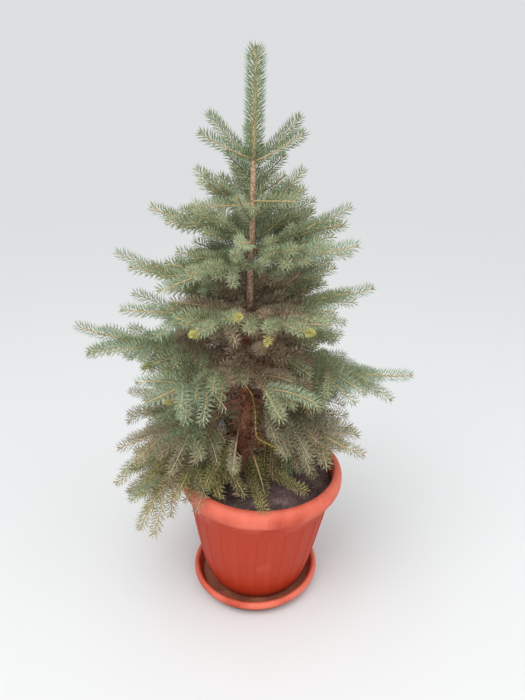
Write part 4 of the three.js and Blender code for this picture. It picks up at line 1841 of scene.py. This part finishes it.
    def add_straw(self) -> None:
        """Adds the dead yellow shoot that hangs in front of the trunk, with its dried needles."""
        route = np.array(STRAW_ROUTE, float)
        spans = np.concatenate([[0], np.cumsum(np.linalg.norm(np.diff(route, axis=0), axis=1))])
        even = np.linspace(0, spans[-1], self.straw_rings)
        rows = np.stack([np.interp(even, spans, route[:, i]) for i in range(3)], axis=1)
        rows[1:-1] = (rows[:-2] + 2 * rows[1:-1] + rows[2:]) / 4
        line = Line(rows, even[1])
        store = self.wood[Wood.STRAW]
        add_tube(store, line, np.linspace(*self.straw_radii, self.straw_rings), 6, even)
        count = self.straw_needles
        along = np.linspace(self.straw_needles_from, line.length - 4, count)
        forward, across, over = line.frame(along)
        outward = turned(over, across, np.arange(count) * math.radians(GOLDEN_ANGLE))
        direction = unit(forward * 0.6 + outward)
        lengths = mix(*self.straw_needle_lengths, self.random.random(count))
        radii = np.full(count, self.straw_needle_radius)
        store.add(*spikes(line.at(along), direction, lengths, radii, 0.0))

    def make_pieces(self) -> None:
        """Makes the joined pieces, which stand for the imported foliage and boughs."""
        names = {True: ["leader_needles"], False: []}
        limbs = []
        for whorl in WHORLS:
            for number in range(1, len(whorl.boughs) + 1):
                names[whorl.name in UPPER_ZONE].append(f"foliage_{whorl.name}_{number}")
                if whorl.limb:
                    limbs.append(f"bough_{whorl.name}_{number}")
        for tint, upper in sorted(self.needles, key=lambda key: (key[0].name, key[1])):
            zone = "upper" if upper else "lower"
            label = f"needles_{tint.name.lower()}_{zone}"
            for piece in self.needles[tint, upper].pieces(label, tint.value, f"needles_{zone}"):
                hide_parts(*names[upper])
        for wood, store in self.wood.items():
            label = f"wood_{wood.name.lower()}"
            for piece in store.pieces(label, wood.value, "bough_bark", smooth=True):
                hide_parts(*(limbs if wood is Wood.BOUGH else []))


@dataclass
class Studio:
    """The floor, the lights and the camera. Soft lights are a name, a place in metres, a side
    in metres and a power in watts."""

    camera_pitch: float = 22.0
    lens: float = 27.05
    sensor: float = 36.0
    floor_size: float = 60.0
    backdrop: str = "#ECEEF0"
    backdrop_strength: float = 0.86
    sky_strength: float = 1.1
    sky_softness: float = 50.0
    sky_tilt: tuple[float, float] = (12.0, -10.0)
    aim: Point = (0.0, 0.0, 0.8)
    soft_lights: tuple[tuple[str, Point, float, float], ...] = (
        ("key_light", (-1.6, -1.8, 3.2), 2.4, 40.0),
        ("fill_light", (2.2, -1.2, 2.4), 2.4, 18.0),
        ("front_light", (0.2, -3.0, 0.9), 1.6, 22.0),
    )

    def build(self) -> None:
        """Lays the floor, hangs the lights and sets the camera."""
        bpy.ops.object.select_all(action="DESELECT")
        bpy.ops.mesh.primitive_plane_add(size=self.floor_size, location=(0, 0, 0))
        floor = bpy.context.active_object
        floor.name = "studio_floor"
        floor.data.materials.append(PaleFloor("painted_floor").material())
        floor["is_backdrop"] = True
        self.light()
        data = bpy.data.cameras.new("photo_camera")
        data.lens, data.sensor_width = self.lens, self.sensor
        camera = add_object("photo_camera", data)
        camera.location = EYE * MM
        camera.rotation_euler = (math.radians(90 - self.camera_pitch), 0, 0)
        bpy.context.scene.camera = camera
        bpy.context.scene.view_settings.view_transform = "Standard"

    def light(self) -> None:
        """Lights the scene: a pale world, a soft sky and square soft lights at the plant."""
        world = bpy.data.worlds.new("studio_world")
        world.use_nodes = True
        backdrop = next(n for n in world.node_tree.nodes if n.type == "BACKGROUND")
        colours = {"Color": linear(self.backdrop), "Strength": self.backdrop_strength}
        fill(world.node_tree, backdrop, colours)
        bpy.context.scene.world = world
        for name, place, size, power in self.soft_lights:
            data = bpy.data.lights.new(name, "AREA")
            data.size, data.energy = size, power
            light = add_object(name, data)
            light.location = place
            x, y, z = np.array(self.aim) - np.array(place)
            tilt = math.atan2(math.hypot(x, y), -z)
            light.rotation_euler = (tilt, 0, math.atan2(x, -y) + math.pi)
        sky = bpy.data.lights.new("sky_light", "SUN")
        sky.energy, sky.angle = self.sky_strength, math.radians(self.sky_softness)
        high = add_object("sky_light", sky)
        high.rotation_euler = (*(math.radians(v) for v in self.sky_tilt), 0)


def main() -> None:
    """Builds every piece in order, and reports each."""
    logging.basicConfig(level=logging.INFO, format="%(message)s")
    for part in (Studio(), Saucer(), Pot(), Soil(), Trunk(), Crown()):
        part.build()
        LOG.info("built %s", type(part).__name__)
    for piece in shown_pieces():
        if piece.type == "MESH" and not piece.hide_render:
            faces = sum(len(p.vertices) - 2 for p in piece.data.polygons)
            LOG.info("%-28s %8d triangles", piece.name, faces)


if __name__ == "__main__":
    main()
